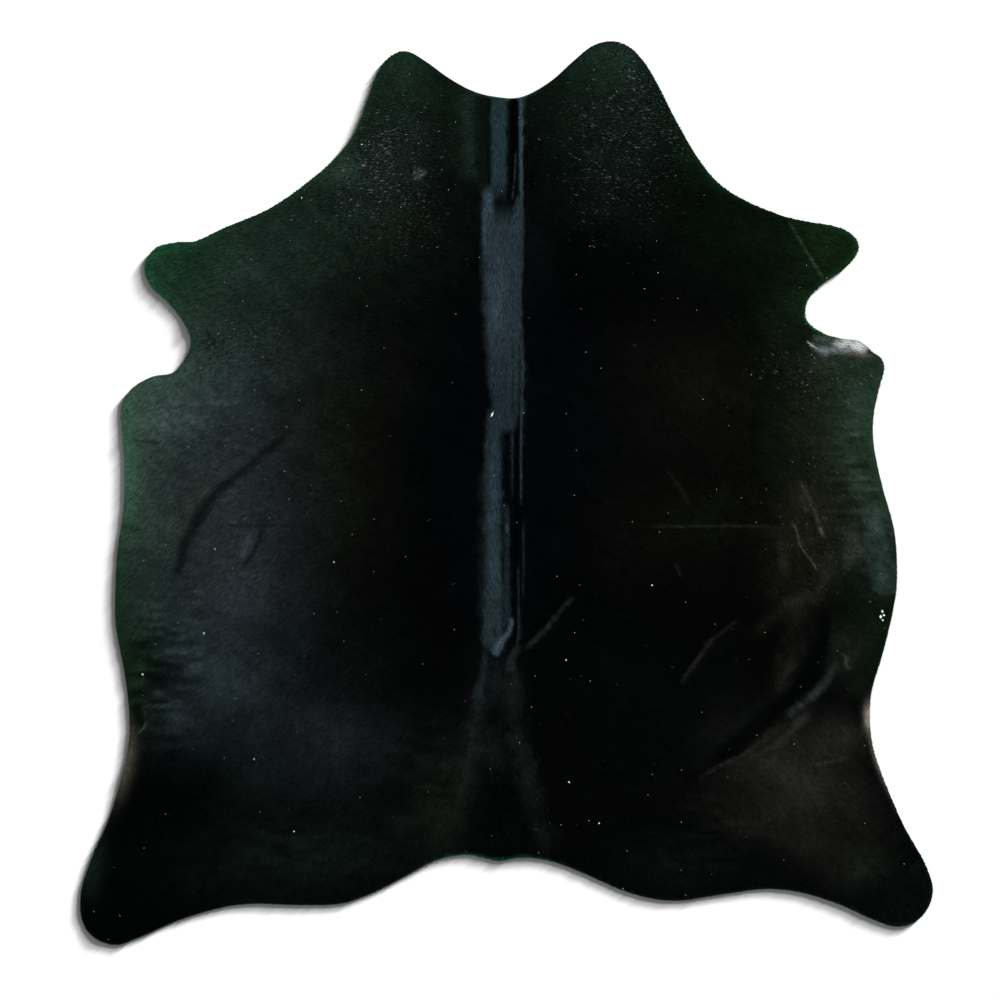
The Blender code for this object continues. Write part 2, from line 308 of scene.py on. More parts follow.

# %% [markdown]
# ## Creases
#
# The solid has the big soft folds. The skin also carries finer ones, where it was folded in store
# and where it creases of itself at the legs: thin threads along the backbone, a broken line across
# each flank, and puckers round the armpits. Each is a route with a few given points, and a
# low hump or groove across it. A slow wave along the route keeps it as uneven as a real crease.

# %% The creases: heights are in metres, and a groove is below zero
Crease = namedtuple("Crease", "name route width height")
CREASES = (
    Crease("nape groove, left", ((-0.058, 0.960), (-0.058, 0.850), (-0.055, 0.745)), 0.028, -0.0009),
    Crease("nape groove, right", ((0.018, 0.960), (0.017, 0.840), (0.014, 0.710)), 0.018, -0.0009),
    Crease("nape thread", ((0.035, 0.960), (0.035, 0.850), (0.038, 0.715)), 0.011, 0.0016),
    Crease("nape thread, short", ((0.024, 0.850), (0.019, 0.780), (0.018, 0.712)), 0.008, 0.0011),
    Crease("nape break", ((-0.026, 0.752), (-0.004, 0.720), (0.006, 0.680)), 0.034, -0.0010),
    Crease("back thread", ((0.039, 0.700), (0.040, 0.450), (0.038, 0.230)), 0.012, 0.0012),
    Crease("back thread, inner", ((0.015, 0.330), (0.016, 0.240), (0.014, 0.130)), 0.008, 0.0008),
    Crease("back groove", ((0.006, 0.300), (0.006, 0.200), (0.002, 0.120)), 0.010, -0.0007),
    Crease("loin thread", ((0.034, 0.230), (0.034, 0.100), (0.036, -0.010)), 0.011, 0.0014),
    Crease("loin groove", ((0.021, 0.170), (0.019, -0.100), (0.020, -0.330)), 0.018, -0.0010),
    Crease("loin thread, lower", ((0.042, -0.055), (0.043, -0.150), (0.042, -0.270)), 0.011, 0.0012),
    Crease("loin thread, last", ((0.028, -0.190), (0.029, -0.330), (0.012, -0.375), (-0.002, -0.402)),
           0.009, 0.0011),
    Crease("loin hook", ((0.007, -0.318), (0.003, -0.352), (-0.016, -0.380), (-0.036, -0.402)),
           0.020, 0.0020),
    Crease("rump hollow", ((-0.040, -0.490), (-0.038, -0.526), (-0.036, -0.570)), 0.050, -0.0010),
    Crease("rump, left", ((-0.056, -0.410), (-0.068, -0.510), (-0.092, -0.620), (-0.130, -0.800)),
           0.024, 0.0009),
    Crease("rump, right", ((0.014, -0.420), (0.034, -0.540), (0.060, -0.650), (0.080, -0.760)),
           0.024, 0.0009),
    Crease("left flank", ((-0.540, 0.125), (-0.639, 0.054), (-0.722, -0.005), (-0.768, -0.085),
                          (-0.800, -0.215)), 0.024, -0.0011),
    Crease("left flank, short", ((-0.600, -0.075), (-0.606, -0.110), (-0.616, -0.140)), 0.016, -0.0008),
    Crease("left flank, level", ((-0.650, -0.082), (-0.580, -0.084), (-0.500, -0.086)), 0.014, -0.0006),
    Crease("left side", ((-0.925, 0.129), (-0.880, 0.128), (-0.832, 0.121)), 0.011, -0.0009),
    Crease("left side, nick", ((-0.928, -0.070), (-0.910, -0.079), (-0.895, -0.082)), 0.012, -0.0008),
    Crease("left belly", ((-0.850, -0.325), (-0.815, -0.345), (-0.780, -0.360)), 0.016, -0.0007),
    Crease("left loin", ((-0.560, -0.510), (-0.530, -0.524), (-0.500, -0.535)), 0.018, -0.0008),
    Crease("right flank, level", ((0.300, -0.086), (0.437, -0.088), (0.568, -0.083), (0.690, -0.072)),
           0.011, 0.0010),
    Crease("right flank, drop", ((0.690, -0.068), (0.714, -0.127), (0.758, -0.192)), 0.009, 0.0011),
    Crease("right flank, chain", ((0.700, 0.020), (0.734, -0.046), (0.763, -0.092), (0.782, -0.130)),
           0.013, 0.0013),
    Crease("right flank, arc", ((0.380, 0.066), (0.418, 0.020), (0.451, -0.046)), 0.016, 0.0008),
    Crease("right flank, stub", ((0.395, -0.160), (0.410, -0.185), (0.424, -0.212)), 0.012, 0.0008),
    Crease("right flank, slant", ((0.417, -0.472), (0.471, -0.394), (0.539, -0.326), (0.573, -0.302)),
           0.014, 0.0010),
    Crease("thigh crest", ((0.802, -0.411), (0.763, -0.470), (0.702, -0.523), (0.617, -0.596),
                           (0.544, -0.650), (0.442, -0.715)), 0.020, 0.0006),
    Crease("thigh groove, fine", ((0.709, -0.543), (0.653, -0.591), (0.580, -0.645)), 0.010, -0.0010),
    Crease("groin wrinkle", ((0.744, -0.557), (0.787, -0.533), (0.836, -0.538)), 0.010, -0.0008),
    Crease("thigh wrinkle", ((0.470, -0.742), (0.510, -0.752), (0.550, -0.752)), 0.016, -0.0008),
    Crease("thigh wrinkle, low", ((0.440, -0.770), (0.500, -0.780), (0.545, -0.768)), 0.012, 0.0008),
    Crease("right side", ((0.787, 0.024), (0.850, 0.027), (0.905, 0.029)), 0.012, -0.0008),
    Crease("right foreleg", ((0.685, 0.672), (0.729, 0.598), (0.780, 0.515)), 0.010, 0.0011),
    Crease("right shank, upper", ((0.940, -0.842), (0.966, -0.850), (1.000, -0.838)), 0.016, -0.0010),
    Crease("right shank, lower", ((0.985, -0.905), (1.004, -0.910), (1.024, -0.904)), 0.014, -0.0010),
    Crease("left hind hollow", ((-0.690, -0.872), (-0.640, -0.892), (-0.580, -0.922)), 0.024, -0.0010),
    Crease("left buttock hollow", ((-0.612, -0.940), (-0.550, -0.955), (-0.480, -0.972)), 0.020, -0.0010),
    Crease("left armpit, first", ((-0.758, 0.392), (-0.715, 0.404), (-0.660, 0.415)), 0.014, 0.0009),
    Crease("left armpit, second", ((-0.752, 0.366), (-0.700, 0.366), (-0.640, 0.360)), 0.014, 0.0009),
    Crease("left armpit, third", ((-0.770, 0.336), (-0.735, 0.318), (-0.690, 0.288)), 0.014, 0.0009),
    Crease("right armpit, first", ((0.720, 0.430), (0.690, 0.424), (0.640, 0.430)), 0.014, 0.0009),
    Crease("right armpit, second", ((0.800, 0.318), (0.760, 0.296), (0.700, 0.285)), 0.014, 0.0009),
    Crease("right armpit, third", ((0.870, 0.300), (0.820, 0.268), (0.770, 0.255)), 0.014, 0.0008),
)
FINE_STEP = 0.003
WAVE = 0.055  # length of the slow wave along a crease
WAVE_MEAN, WAVE_DEPTH = 0.8, 0.45  # of the crease's height
ROUTE_ENDS = (0.02, 0.98)  # past these shares of its route a crease fades no further


def smooth_route(points, step):
    """A smooth open curve through a route's points, cut into even steps."""
    knots = np.array(points)
    knots = np.vstack((2 * knots[0] - knots[1], knots, 2 * knots[-1] - knots[-2]))
    fine = curve_through(knots[:-3], knots[1:-2], knots[2:-1], knots[3:], cuts=12)
    return even_steps(np.vstack((fine, knots[-2:-1])), step)


def soft_noise(points, size, seed):
    """Smooth random heights from -1 to 1 over the floor plan, with bumps about size across."""
    cells = points / size
    corner = np.floor(cells).astype(int)
    share = cells - corner
    share = share * share * (3 - 2 * share)
    table = np.random.default_rng(seed).uniform(-1, 1, (256, 256))
    value = 0.0
    for right in (0, 1):
        for up in (0, 1):
            weight = np.abs(1 - right - share[:, 0]) * np.abs(1 - up - share[:, 1])
            value = value + weight * table[(corner[:, 0] + right) % 256, (corner[:, 1] + up) % 256]
    return value


def tree_of(points):
    """The points of the floor plan in a tree that finds the nearest one quickly."""
    tree = KDTree(len(points))
    for index, spot in enumerate(points):
        tree.insert((*spot, 0.0), index)
    tree.balance()
    return tree


def near_route(points, route, reach):
    """Which points lie within reach of a route, how far off each is and how far along, 0 to 1."""
    line = smooth_route(route, FINE_STEP)
    low, high = line.min(axis=0) - reach, line.max(axis=0) + reach
    chosen = np.flatnonzero(np.all((points > low) & (points < high), axis=1))
    if len(chosen) == 0:
        return chosen, np.zeros(0), np.zeros(0)
    tree = tree_of(line)
    found = [tree.find((*spot, 0.0)) for spot in points[chosen]]
    gaps = np.array([hit[2] for hit in found])
    shares = np.array([hit[1] for hit in found]) / (len(line) - 1)
    close = gaps < reach
    return chosen[close], gaps[close], shares[close]


def crease_heights(points):
    heights = np.zeros(len(points))
    for number, crease in enumerate(CREASES):
        chosen, gaps, shares = near_route(points, crease.route, crease.width / 2)
        hump = np.cos(math.pi * gaps / crease.width) ** 2
        fade = np.sqrt(np.sin(math.pi * np.clip(shares, *ROUTE_ENDS)))
        uneven = WAVE_MEAN + WAVE_DEPTH * soft_noise(points[chosen], WAVE, 100 + number)
        heights[chosen] += crease.height * hump * fade * uneven
    return heights


print("creases:", len(CREASES))


# %% Set out the sheet's points and lift them onto the folds
ROW_GAP = 0.0026  # the least room between two points of the crease rows
ROW_TO_RIM, FIELD_TO_RIM, FIELD_TO_ROW = 0.003, 0.0045, 0.0055


def clear_of(points, tree, gap):
    """Those points that lie farther than gap from everything in the tree."""
    return np.array([spot for spot in points if tree.find((*spot, 0.0))[2] > gap])


def crease_rows():
    """Rows of points along the creases: on the crest, on both slopes and at both feet."""
    rows = []
    for crease in CREASES:
        line = smooth_route(crease.route, CREASE_STEP)
        side = np.gradient(line, axis=0)[:, ::-1] * (-1.0, 1.0)
        side /= np.linalg.norm(side, axis=1)[:, None]
        rows += [line + side * share * crease.width for share in (0.0, -0.25, 0.25, -0.5, 0.5)]
    return np.vstack(rows)


def thinned(points, gap):
    """The points in their order, less each that lies closer than gap to one kept before it."""
    tree = tree_of(points)
    kept = np.ones(len(points), bool)
    for index, spot in enumerate(points):
        if kept[index]:
            for _, other, _ in tree.find_range((*spot, 0.0), gap):
                if other > index:
                    kept[other] = False
    return points[kept]


def field_points(low, high, step):
    rows = np.arange(low[1], high[1], step * math.sqrt(3) / 2)
    across = np.arange(low[0], high[0], step)
    shift = (np.arange(len(rows)) % 2) * step / 2
    x = (across[None, :] + shift[:, None]).ravel()
    return np.stack((x, np.repeat(rows, len(across))), axis=1)


def inside_rim(points):
    """Triangles inside the rim through the rim's own points and these."""
    spots = [Vector(spot) for spot in np.vstack((rim, points))]
    loop = [list(range(len(rim)))]
    spots, _, faces, *_ = geometry.delaunay_2d_cdt(spots, [], loop, 1, SAME_POINT)
    spots = np.array(spots)
    used = np.unique([corner for face in faces for corner in face])
    number = np.full(len(spots), -1)
    number[used] = np.arange(len(used))
    return spots[used], [[number[corner] for corner in face] for face in faces]


FROM_ABOVE, FROM_BELOW = (1.0, -1.0), (-1.0, 1.0)  # where a ray starts, and which way it goes


def heights_on_solid(points, start, direction):
    """Where a ray through each point meets the solid, straight down or straight up."""
    found = []
    for x, y in points:
        hit = solid_tree.ray_cast((x, y, start), (0.0, 0.0, direction))[0]
        found.append(hit.z if hit else np.nan)
    found = np.array(found)
    return np.where(np.isnan(found), np.nanmedian(found), found)


rim_tree = tree_of(rim)
rows = clear_of(thinned(crease_rows(), ROW_GAP), rim_tree, ROW_TO_RIM)
rows_tree = tree_of(rows)
field = field_points(rim.min(axis=0), rim.max(axis=0), FIELD_STEP)
field = clear_of(clear_of(field, rows_tree, FIELD_TO_ROW), rim_tree, FIELD_TO_RIM)
top_spots, top_faces = inside_rim(np.vstack((rows, field)))
print("top points:", len(top_spots), "top triangles:", len(top_faces))


# %% Smooth the heights, add the creases and a soft unevenness
SMOOTHING_PASSES = 4
SWELL = 0.0005  # how far the flat parts of a tanned skin rise and fall
BROAD_SWELL, FINE_SWELL = 0.09, 0.03  # how broad it is: where it gathers, and each rise
SWELL_MEAN, SWELL_CHANGE = 0.6, 0.4


def smoothed(values, faces, passes):
    """Each value moved halfway to the mean of its neighbours', several times over."""
    ends = np.array([(face[i], face[(i + 1) % 3]) for face in faces for i in range(3)])
    one, other = np.concatenate((ends, ends[:, ::-1])).T
    count = np.maximum(np.bincount(one, minlength=len(values)), 1)
    for _ in range(passes):
        mean = np.bincount(one, values[other], minlength=len(values)) / count
        values = (values + mean) / 2
    return values


top_heights = heights_on_solid(top_spots, *FROM_ABOVE) - COAT
top_heights = smoothed(top_heights, top_faces, SMOOTHING_PASSES)
top_heights += crease_heights(top_spots)
uneven = SWELL_MEAN + SWELL_CHANGE * soft_noise(top_spots, BROAD_SWELL, 1)
top_heights += SWELL * uneven * soft_noise(top_spots, FINE_SWELL, 2)
print("skin top, mm:", round(top_heights.min() * 1e3, 2), "to", round(top_heights.max() * 1e3, 2))

# %% Close the sheet with an underside and a cut edge
TOP, EDGE, FLESH = 0, 1, 2  # the sheet's material slots
UNDER_CLEAR = 0.009
UNDER_SLACK = 0.0010  # under the folds the coarse underside keeps this clear of the top
THINNEST = 0.0012
SHARP_ANGLE = math.radians(50)  # the cut edge is sharp, the creases are smooth

under = {vert for face in solid.faces if face.normal.z < -TOP_UP for vert in face.verts}
under_field = np.array(sorted(vert.co.xy[:] for vert in under))
under_spots, under_faces = inside_rim(clear_of(under_field, rim_tree, UNDER_CLEAR))
under_heights = np.maximum(heights_on_solid(under_spots, *FROM_BELOW) - UNDER_SLACK, 0.0)
top_heights = np.maximum(top_heights, heights_on_solid(top_spots, *FROM_BELOW) + THINNEST)

top_points = np.column_stack((top_spots, top_heights))
under_points = np.column_stack((under_spots, under_heights))
count = len(top_points)
walls = [
    (i, (i + 1) % len(rim), count + (i + 1) % len(rim), count + i) for i in range(len(rim))
]
under_loops = [[count + corner for corner in reversed(face)] for face in under_faces]
skin_mesh = bpy.data.meshes.new("skin")
skin_mesh.from_pydata(
    np.vstack((top_points, under_points)).tolist(), [], top_faces + under_loops + walls
)
slots = [TOP] * len(top_faces) + [FLESH] * len(under_loops) + [EDGE] * len(walls)
skin_mesh.polygons.foreach_set("material_index", slots)
work = bmesh.new()
work.from_mesh(skin_mesh)
bmesh.ops.recalc_face_normals(work, faces=work.faces[:])
loose_edges = sum(not edge.is_manifold for edge in work.edges)
work.to_mesh(skin_mesh)
work.free()
skin_mesh.shade_smooth()
skin_mesh.set_sharp_from_angle(angle=SHARP_ANGLE)
skin = new_object("hide_skin", skin_mesh)
print("skin faces:", len(skin_mesh.polygons), "open edges:", loose_edges)

# %% [markdown]
# ## Which way the hair lies
#
# On a cow the hair runs back along the spine and from there outwards and down, like water off a
# roof ridge. A few listed directions say this for the right-hand side, and the left mirrors
# them. Between them the direction is blended by distance. The strip over the backbone is combed
# straight, with a hard change at its right edge, where the skin was folded in two.

# %% The lie of the hair, in degrees turned outwards from straight back
Lie = namedtuple("Lie", "name place turn")
LIES = (
    Lie("nape", (0.12, 0.90), 78), Lie("cheek", (0.28, 1.02), 84), Lie("neck", (0.30, 0.80), 80),
    Lie("withers", (0.15, 0.60), 66), Lie("shoulder", (0.38, 0.58), 66),
    Lie("foreleg", (0.70, 0.60), 84), Lie("armpit", (0.68, 0.42), 62),
    Lie("back", (0.15, 0.20), 62), Lie("ribs", (0.45, 0.20), 56), Lie("side", (0.86, 0.10), 46),
    Lie("loin", (0.18, -0.22), 58), Lie("belly", (0.60, -0.15), 50), Lie("flank", (0.82, -0.32), 42),
    Lie("croup", (0.12, -0.52), 40), Lie("hip", (0.45, -0.50), 52), Lie("thigh", (0.66, -0.72), 46),
    Lie("rump", (0.12, -0.78), 26), Lie("buttock", (0.38, -0.88), 34),
    Lie("hind leg", (0.95, -0.95), 44), Lie("tail", (0.0, -0.86), 0),
)
Strip = namedtuple("Strip", "y left right")
STRIP = (  # the edges of the sleek strip over the backbone
    Strip(-0.420, -0.050, 0.020), Strip(-0.330, -0.058, 0.046), Strip(-0.115, -0.062, 0.046),
    Strip(0.000, -0.058, 0.042), Strip(0.130, -0.052, 0.042), Strip(0.215, -0.042, 0.042),
    Strip(0.275, -0.048, 0.041), Strip(0.470, -0.058, 0.041), Strip(0.670, -0.065, 0.041),
    Strip(0.740, -0.060, 0.041), Strip(0.970, -0.050, 0.040),
)
RIGHT_RAMP = 0.006
LEFT_RAMP = 0.022
END_RAMP = 0.10
STRAY_TURN = 9.0  # degrees that the lie wanders
HAND = 0.12  # over this width
NEAREST = 0.006  # square metres, so that a lie's pull stays finite at its own place
SPINE_X = -0.01  # the spine lies a little to the left
PARTING = 0.08  # and beside it the hair turns outwards over this width


def ramp(values, start, end):
    """0 before start, 1 after end, and a smooth rise between."""
    share = np.clip((values - start) / (end - start), 0, 1)
    return share * share * (3 - 2 * share)


def strip_share(points):
    """1 on the sleek strip over the backbone, 0 away from it."""
    rows = np.array([(row.y, row.left, row.right) for row in STRIP])
    left = np.interp(points[:, 1], rows[:, 0], rows[:, 1])
    right = np.interp(points[:, 1], rows[:, 0], rows[:, 2])
    inside = ramp(points[:, 0], left - LEFT_RAMP, left) * (1 - ramp(points[:, 0], right, right + RIGHT_RAMP))
    return inside * ramp(points[:, 1], STRIP[0].y - END_RAMP, STRIP[0].y)


def lie_at(points):
    """The direction of the hair at each point, as a unit vector in the plane."""
    side = np.sign(points[:, 0])
    weight, total = np.zeros(len(points)), np.zeros(len(points))
    for lie in LIES:
        gap = (np.abs(points[:, 0]) - lie.place[0]) ** 2 + (points[:, 1] - lie.place[1]) ** 2
        pull = 1 / (gap + NEAREST) ** 1.5
        weight += pull
        total += pull * lie.turn
    turn = total / weight + STRAY_TURN * soft_noise(points, HAND, 3)
    turn *= (1 - strip_share(points)) * ramp(np.abs(points[:, 0] - SPINE_X), 0.0, PARTING)
    turn = np.radians(turn) * side
    return np.stack((np.sin(turn), -np.cos(turn)), axis=1)


# %% Follow the hair back to the spine, for strands that run with it
FLOW_STEP = 0.02
FARTHEST = 1.7  # metres of hair line that are followed
SPINE_HALF = 0.05
OFF_SPINE = 3  # keeps the strands on the spine apart from those beside it


def flow_at(points):
    """Where on the spine each point's line of hair starts, and how far down the line it lies."""
    spots, run = points.copy(), np.zeros(len(points))
    for _ in range(round(FARTHEST / FLOW_STEP)):
        away = np.abs(spots[:, 0]) > SPINE_HALF
        spots[away] -= lie_at(spots[away]) * FLOW_STEP
        run[away] += FLOW_STEP
    across = np.where(run > 0, spots[:, 1], OFF_SPINE + spots[:, 0])
    return np.column_stack((across, np.where(run > 0, run, -spots[:, 1])))


flow = flow_at(top_spots)
print("longest line of hair from the spine, metres:", round(flow[:, 1].max(), 2))

# %% [markdown]
# ## The dye, and the painted sheen and shade
#
# The coat was dyed black over a lighter or darker natural colour, so the black isn't even. Along
# the trimmed edge a green cast shows. The sheen of the hair is painted into this colour too: the
# blue grey of the flanks and the warm brown of the thigh are partly the dye's own tone and partly
# painted sheen, the pale strip over the backbone is painted sheen, the creases get painted
# highlights on their ridges and painted shade in their grooves, and a painted highlight lies on the
# edge of one armpit. Each tone is a named patch with a place, a reach and a colour, laid over the
# one before. The result is stored with every lock of hair, so that it travels with the mesh.

# %% Broad tones of the dyed coat, with its painted sheen
BASE_TONE = "#010101"
Patch = namedtuple("Patch", "name place reach turn tone strength")
PATCHES = (
    Patch("back, blue black", (0.01, 0.14), (0.25, 0.44), 0, "#020306", 0.8),
    Patch("croup, green black", (0.35, -0.52), (0.28, 0.24), 0, "#020402", 0.9),
    # On the left side the paler blue and green grey patches, from the nape to the loin, are painted sheen of
    # the hair over the dye's own tone, and the darker ones are the dye's tone alone.
    Patch("left nape", (-0.24, 0.99), (0.14, 0.12), 0, "#132119", 0.95),
    Patch("left nape, tip", (-0.26, 1.07), (0.08, 0.05), 0, "#1b2e23", 0.8),
    Patch("left nape, inner", (-0.19, 0.88), (0.09, 0.10), 0, "#0a110d", 0.8),
    Patch("left neck", (-0.30, 0.78), (0.19, 0.20), -30, "#172019", 0.95),
    Patch("left neck, edge", (-0.405, 0.775), (0.040, 0.030), 30, "#35483e", 0.7),
    Patch("left withers", (-0.14, 0.68), (0.10, 0.20), 0, "#050806", 0.9),
    Patch("left upper", (-0.62, 0.57), (0.24, 0.16), 15, "#1c2b24", 0.95),
    Patch("left upper, edge", (-0.72, 0.66), (0.10, 0.06), 10, "#22362a", 0.6),
    Patch("left foreleg", (-0.83, 0.56), (0.12, 0.10), 0, "#173220", 1.0),
    Patch("left ribs", (-0.45, 0.12), (0.16, 0.38), 0, "#0e0f0a", 0.9),
    Patch("left ribs, upper", (-0.30, 0.33), (0.11, 0.16), 0, "#0a0b09", 0.7),
    Patch("left flank, whole", (-0.74, -0.10), (0.21, 0.46), 0, "#1f2325", 1.0),
    Patch("left chest", (-0.68, 0.31), (0.18, 0.11), 10, "#242f2c", 0.85),
    Patch("left armpit", (-0.745, 0.42), (0.06, 0.05), 0, "#2a3a31", 0.6),
    Patch("left chest, dim", (-0.52, 0.36), (0.06, 0.06), 0, "#101511", 0.8),
    Patch("left shoulder", (-0.85, 0.21), (0.15, 0.12), 0, "#3a4844", 0.95),
    Patch("left shoulder, top", (-0.84, 0.31), (0.08, 0.05), 0, "#3a4942", 0.6),
    Patch("left side, middle", (-0.87, -0.02), (0.08, 0.17), 0, "#2b3831", 0.8),
    Patch("left flank, pale", (-0.68, -0.06), (0.13, 0.24), 8, "#262a2c", 0.7),
    Patch("left flank, low", (-0.72, -0.46), (0.15, 0.15), 25, "#222a2d", 0.9),
    Patch("left belly, pale", (-0.87, -0.26), (0.07, 0.09), 0, "#26332f", 0.7),
    Patch("left waist", (-0.63, -0.28), (0.05, 0.06), 0, "#242b2e", 0.6),
    Patch("left belly, green", (-0.90, -0.44), (0.06, 0.14), 0, "#0c170d", 0.95),
    Patch("left flank, dim", (-0.55, -0.36), (0.07, 0.06), 0, "#0b1112", 0.65),
    Patch("left loin", (-0.47, -0.60), (0.20, 0.12), -8, "#161919", 0.9),
    Patch("left loin, outer", (-0.64, -0.67), (0.11, 0.07), 0, "#161d1c", 0.7),
    Patch("left loin, inner", (-0.36, -0.42), (0.12, 0.12), 0, "#090b0b", 0.5),
    Patch("left thigh", (-0.80, -0.74), (0.22, 0.13), 15, "#010302", 1.0),
    Patch("left hind tip", (-0.98, -1.00), (0.15, 0.17), 0, "#010303", 1.0),
    Patch("left hind, rim", (-1.02, -0.89), (0.04, 0.09), 0, "#111a17", 0.9),
    Patch("left buttock", (-0.48, -0.89), (0.28, 0.11), 5, "#0a100d", 0.85),
    Patch("left croup", (-0.16, -0.72), (0.08, 0.16), -15, "#0b0e0a", 0.9),
    Patch("right nape", (0.25, 0.99), (0.15, 0.12), -20, "#15211a", 1.0),
    Patch("right nape, tip", (0.25, 1.09), (0.09, 0.06), 0, "#22342b", 0.65),
    Patch("right neck", (0.28, 0.84), (0.17, 0.16), -20, "#0c140f", 0.95),
    Patch("right withers", (0.28, 0.70), (0.09, 0.07), 0, "#100f0d", 0.5),
    Patch("right shoulder", (0.55, 0.62), (0.26, 0.15), -25, "#050a06", 0.95),
    Patch("right foreleg", (0.79, 0.60), (0.12, 0.10), 0, "#0d1b0b", 1.0),
    Patch("right ribs", (0.46, 0.26), (0.20, 0.16), 0, "#0b0b08", 0.9),
    Patch("right side, inner", (0.78, 0.22), (0.12, 0.22), 0, "#12170e", 0.9),
    Patch("right chest", (0.72, 0.44), (0.08, 0.07), 0, "#0f190f", 0.8),
    Patch("right armpit, below", (0.79, 0.32), (0.07, 0.03), 0, "#222822", 0.8),
    Patch("right side", (0.87, 0.16), (0.08, 0.20), 0, "#1d281e", 1.0),
    Patch("right side, teal", (0.865, 0.20), (0.03, 0.05), 0, "#28362f", 0.6),
    Patch("right side, olive", (0.75, 0.12), (0.05, 0.09), 0, "#191a10", 0.45),
    Patch("right side, mottle", (0.87, -0.01), (0.04, 0.05), 0, "#242e26", 0.6),
    Patch("right flank, inner", (0.46, -0.05), (0.20, 0.12), 0, "#090a06", 0.8),
    Patch("right flank", (0.74, -0.10), (0.09, 0.15), -10, "#17160f", 0.85),
    Patch("right flank, hole", (0.721, -0.172), (0.024, 0.026), 0, "#0e0b06", 0.8),
    Patch("right belly, dark", (0.90, -0.34), (0.07, 0.12), 10, "#080f08", 1.0),
    Patch("right belly, pink", (0.845, -0.135), (0.030, 0.045), 0, "#2a2d28", 0.8),
    Patch("right hip, outer", (0.82, -0.38), (0.05, 0.05), 0, "#15160f", 0.7),
    Patch("right hip, inner", (0.53, -0.58), (0.06, 0.05), 30, "#0c0b0b", 0.5),
    # The warm browns of the right thigh are partly the dye's own tone and partly painted sheen of the hair.
    Patch("right thigh", (0.71, -0.70), (0.15, 0.10), -35, "#1c1a17", 1.0),
    Patch("right thigh, low", (0.66, -0.82), (0.18, 0.05), -20, "#110f0c", 0.8),
    Patch("right hock", (0.83, -0.85), (0.11, 0.06), -40, "#0a0a06", 0.9),
    Patch("right shank", (0.86, -0.92), (0.06, 0.05), 0, "#131411", 0.7),
    Patch("right groin, pale", (0.80, -0.60), (0.07, 0.05), 0, "#191815", 0.9),
    Patch("right groin, dark", (0.845, -0.465), (0.026, 0.035), 0, "#090d08", 0.85),
    Patch("right hind tip", (0.99, -0.99), (0.12, 0.14), 0, "#020402", 1.0),
    Patch("right buttock", (0.42, -0.90), (0.16, 0.08), 0, "#050706", 0.9),
    Patch("withers, right", (0.075, 0.60), (0.05, 0.10), 0, "#070b0b", 0.7),
    Patch("croup, top", (-0.03, -0.46), (0.06, 0.08), 0, "#0d1010", 0.9),
    Patch("croup, between", (-0.018, -0.620), (0.040, 0.050), 0, "#101211", 0.8),
    Patch("tail, dark", (-0.005, -0.80), (0.045, 0.08), 0, "#020403", 0.9),
    Patch("right neck, edge", (0.46, 0.82), (0.12, 0.04), -50, "#0e1b10", 0.5),
    Patch("centre, brown", (0.28, -0.11), (0.08, 0.10), 0, "#080505", 0.6),
)
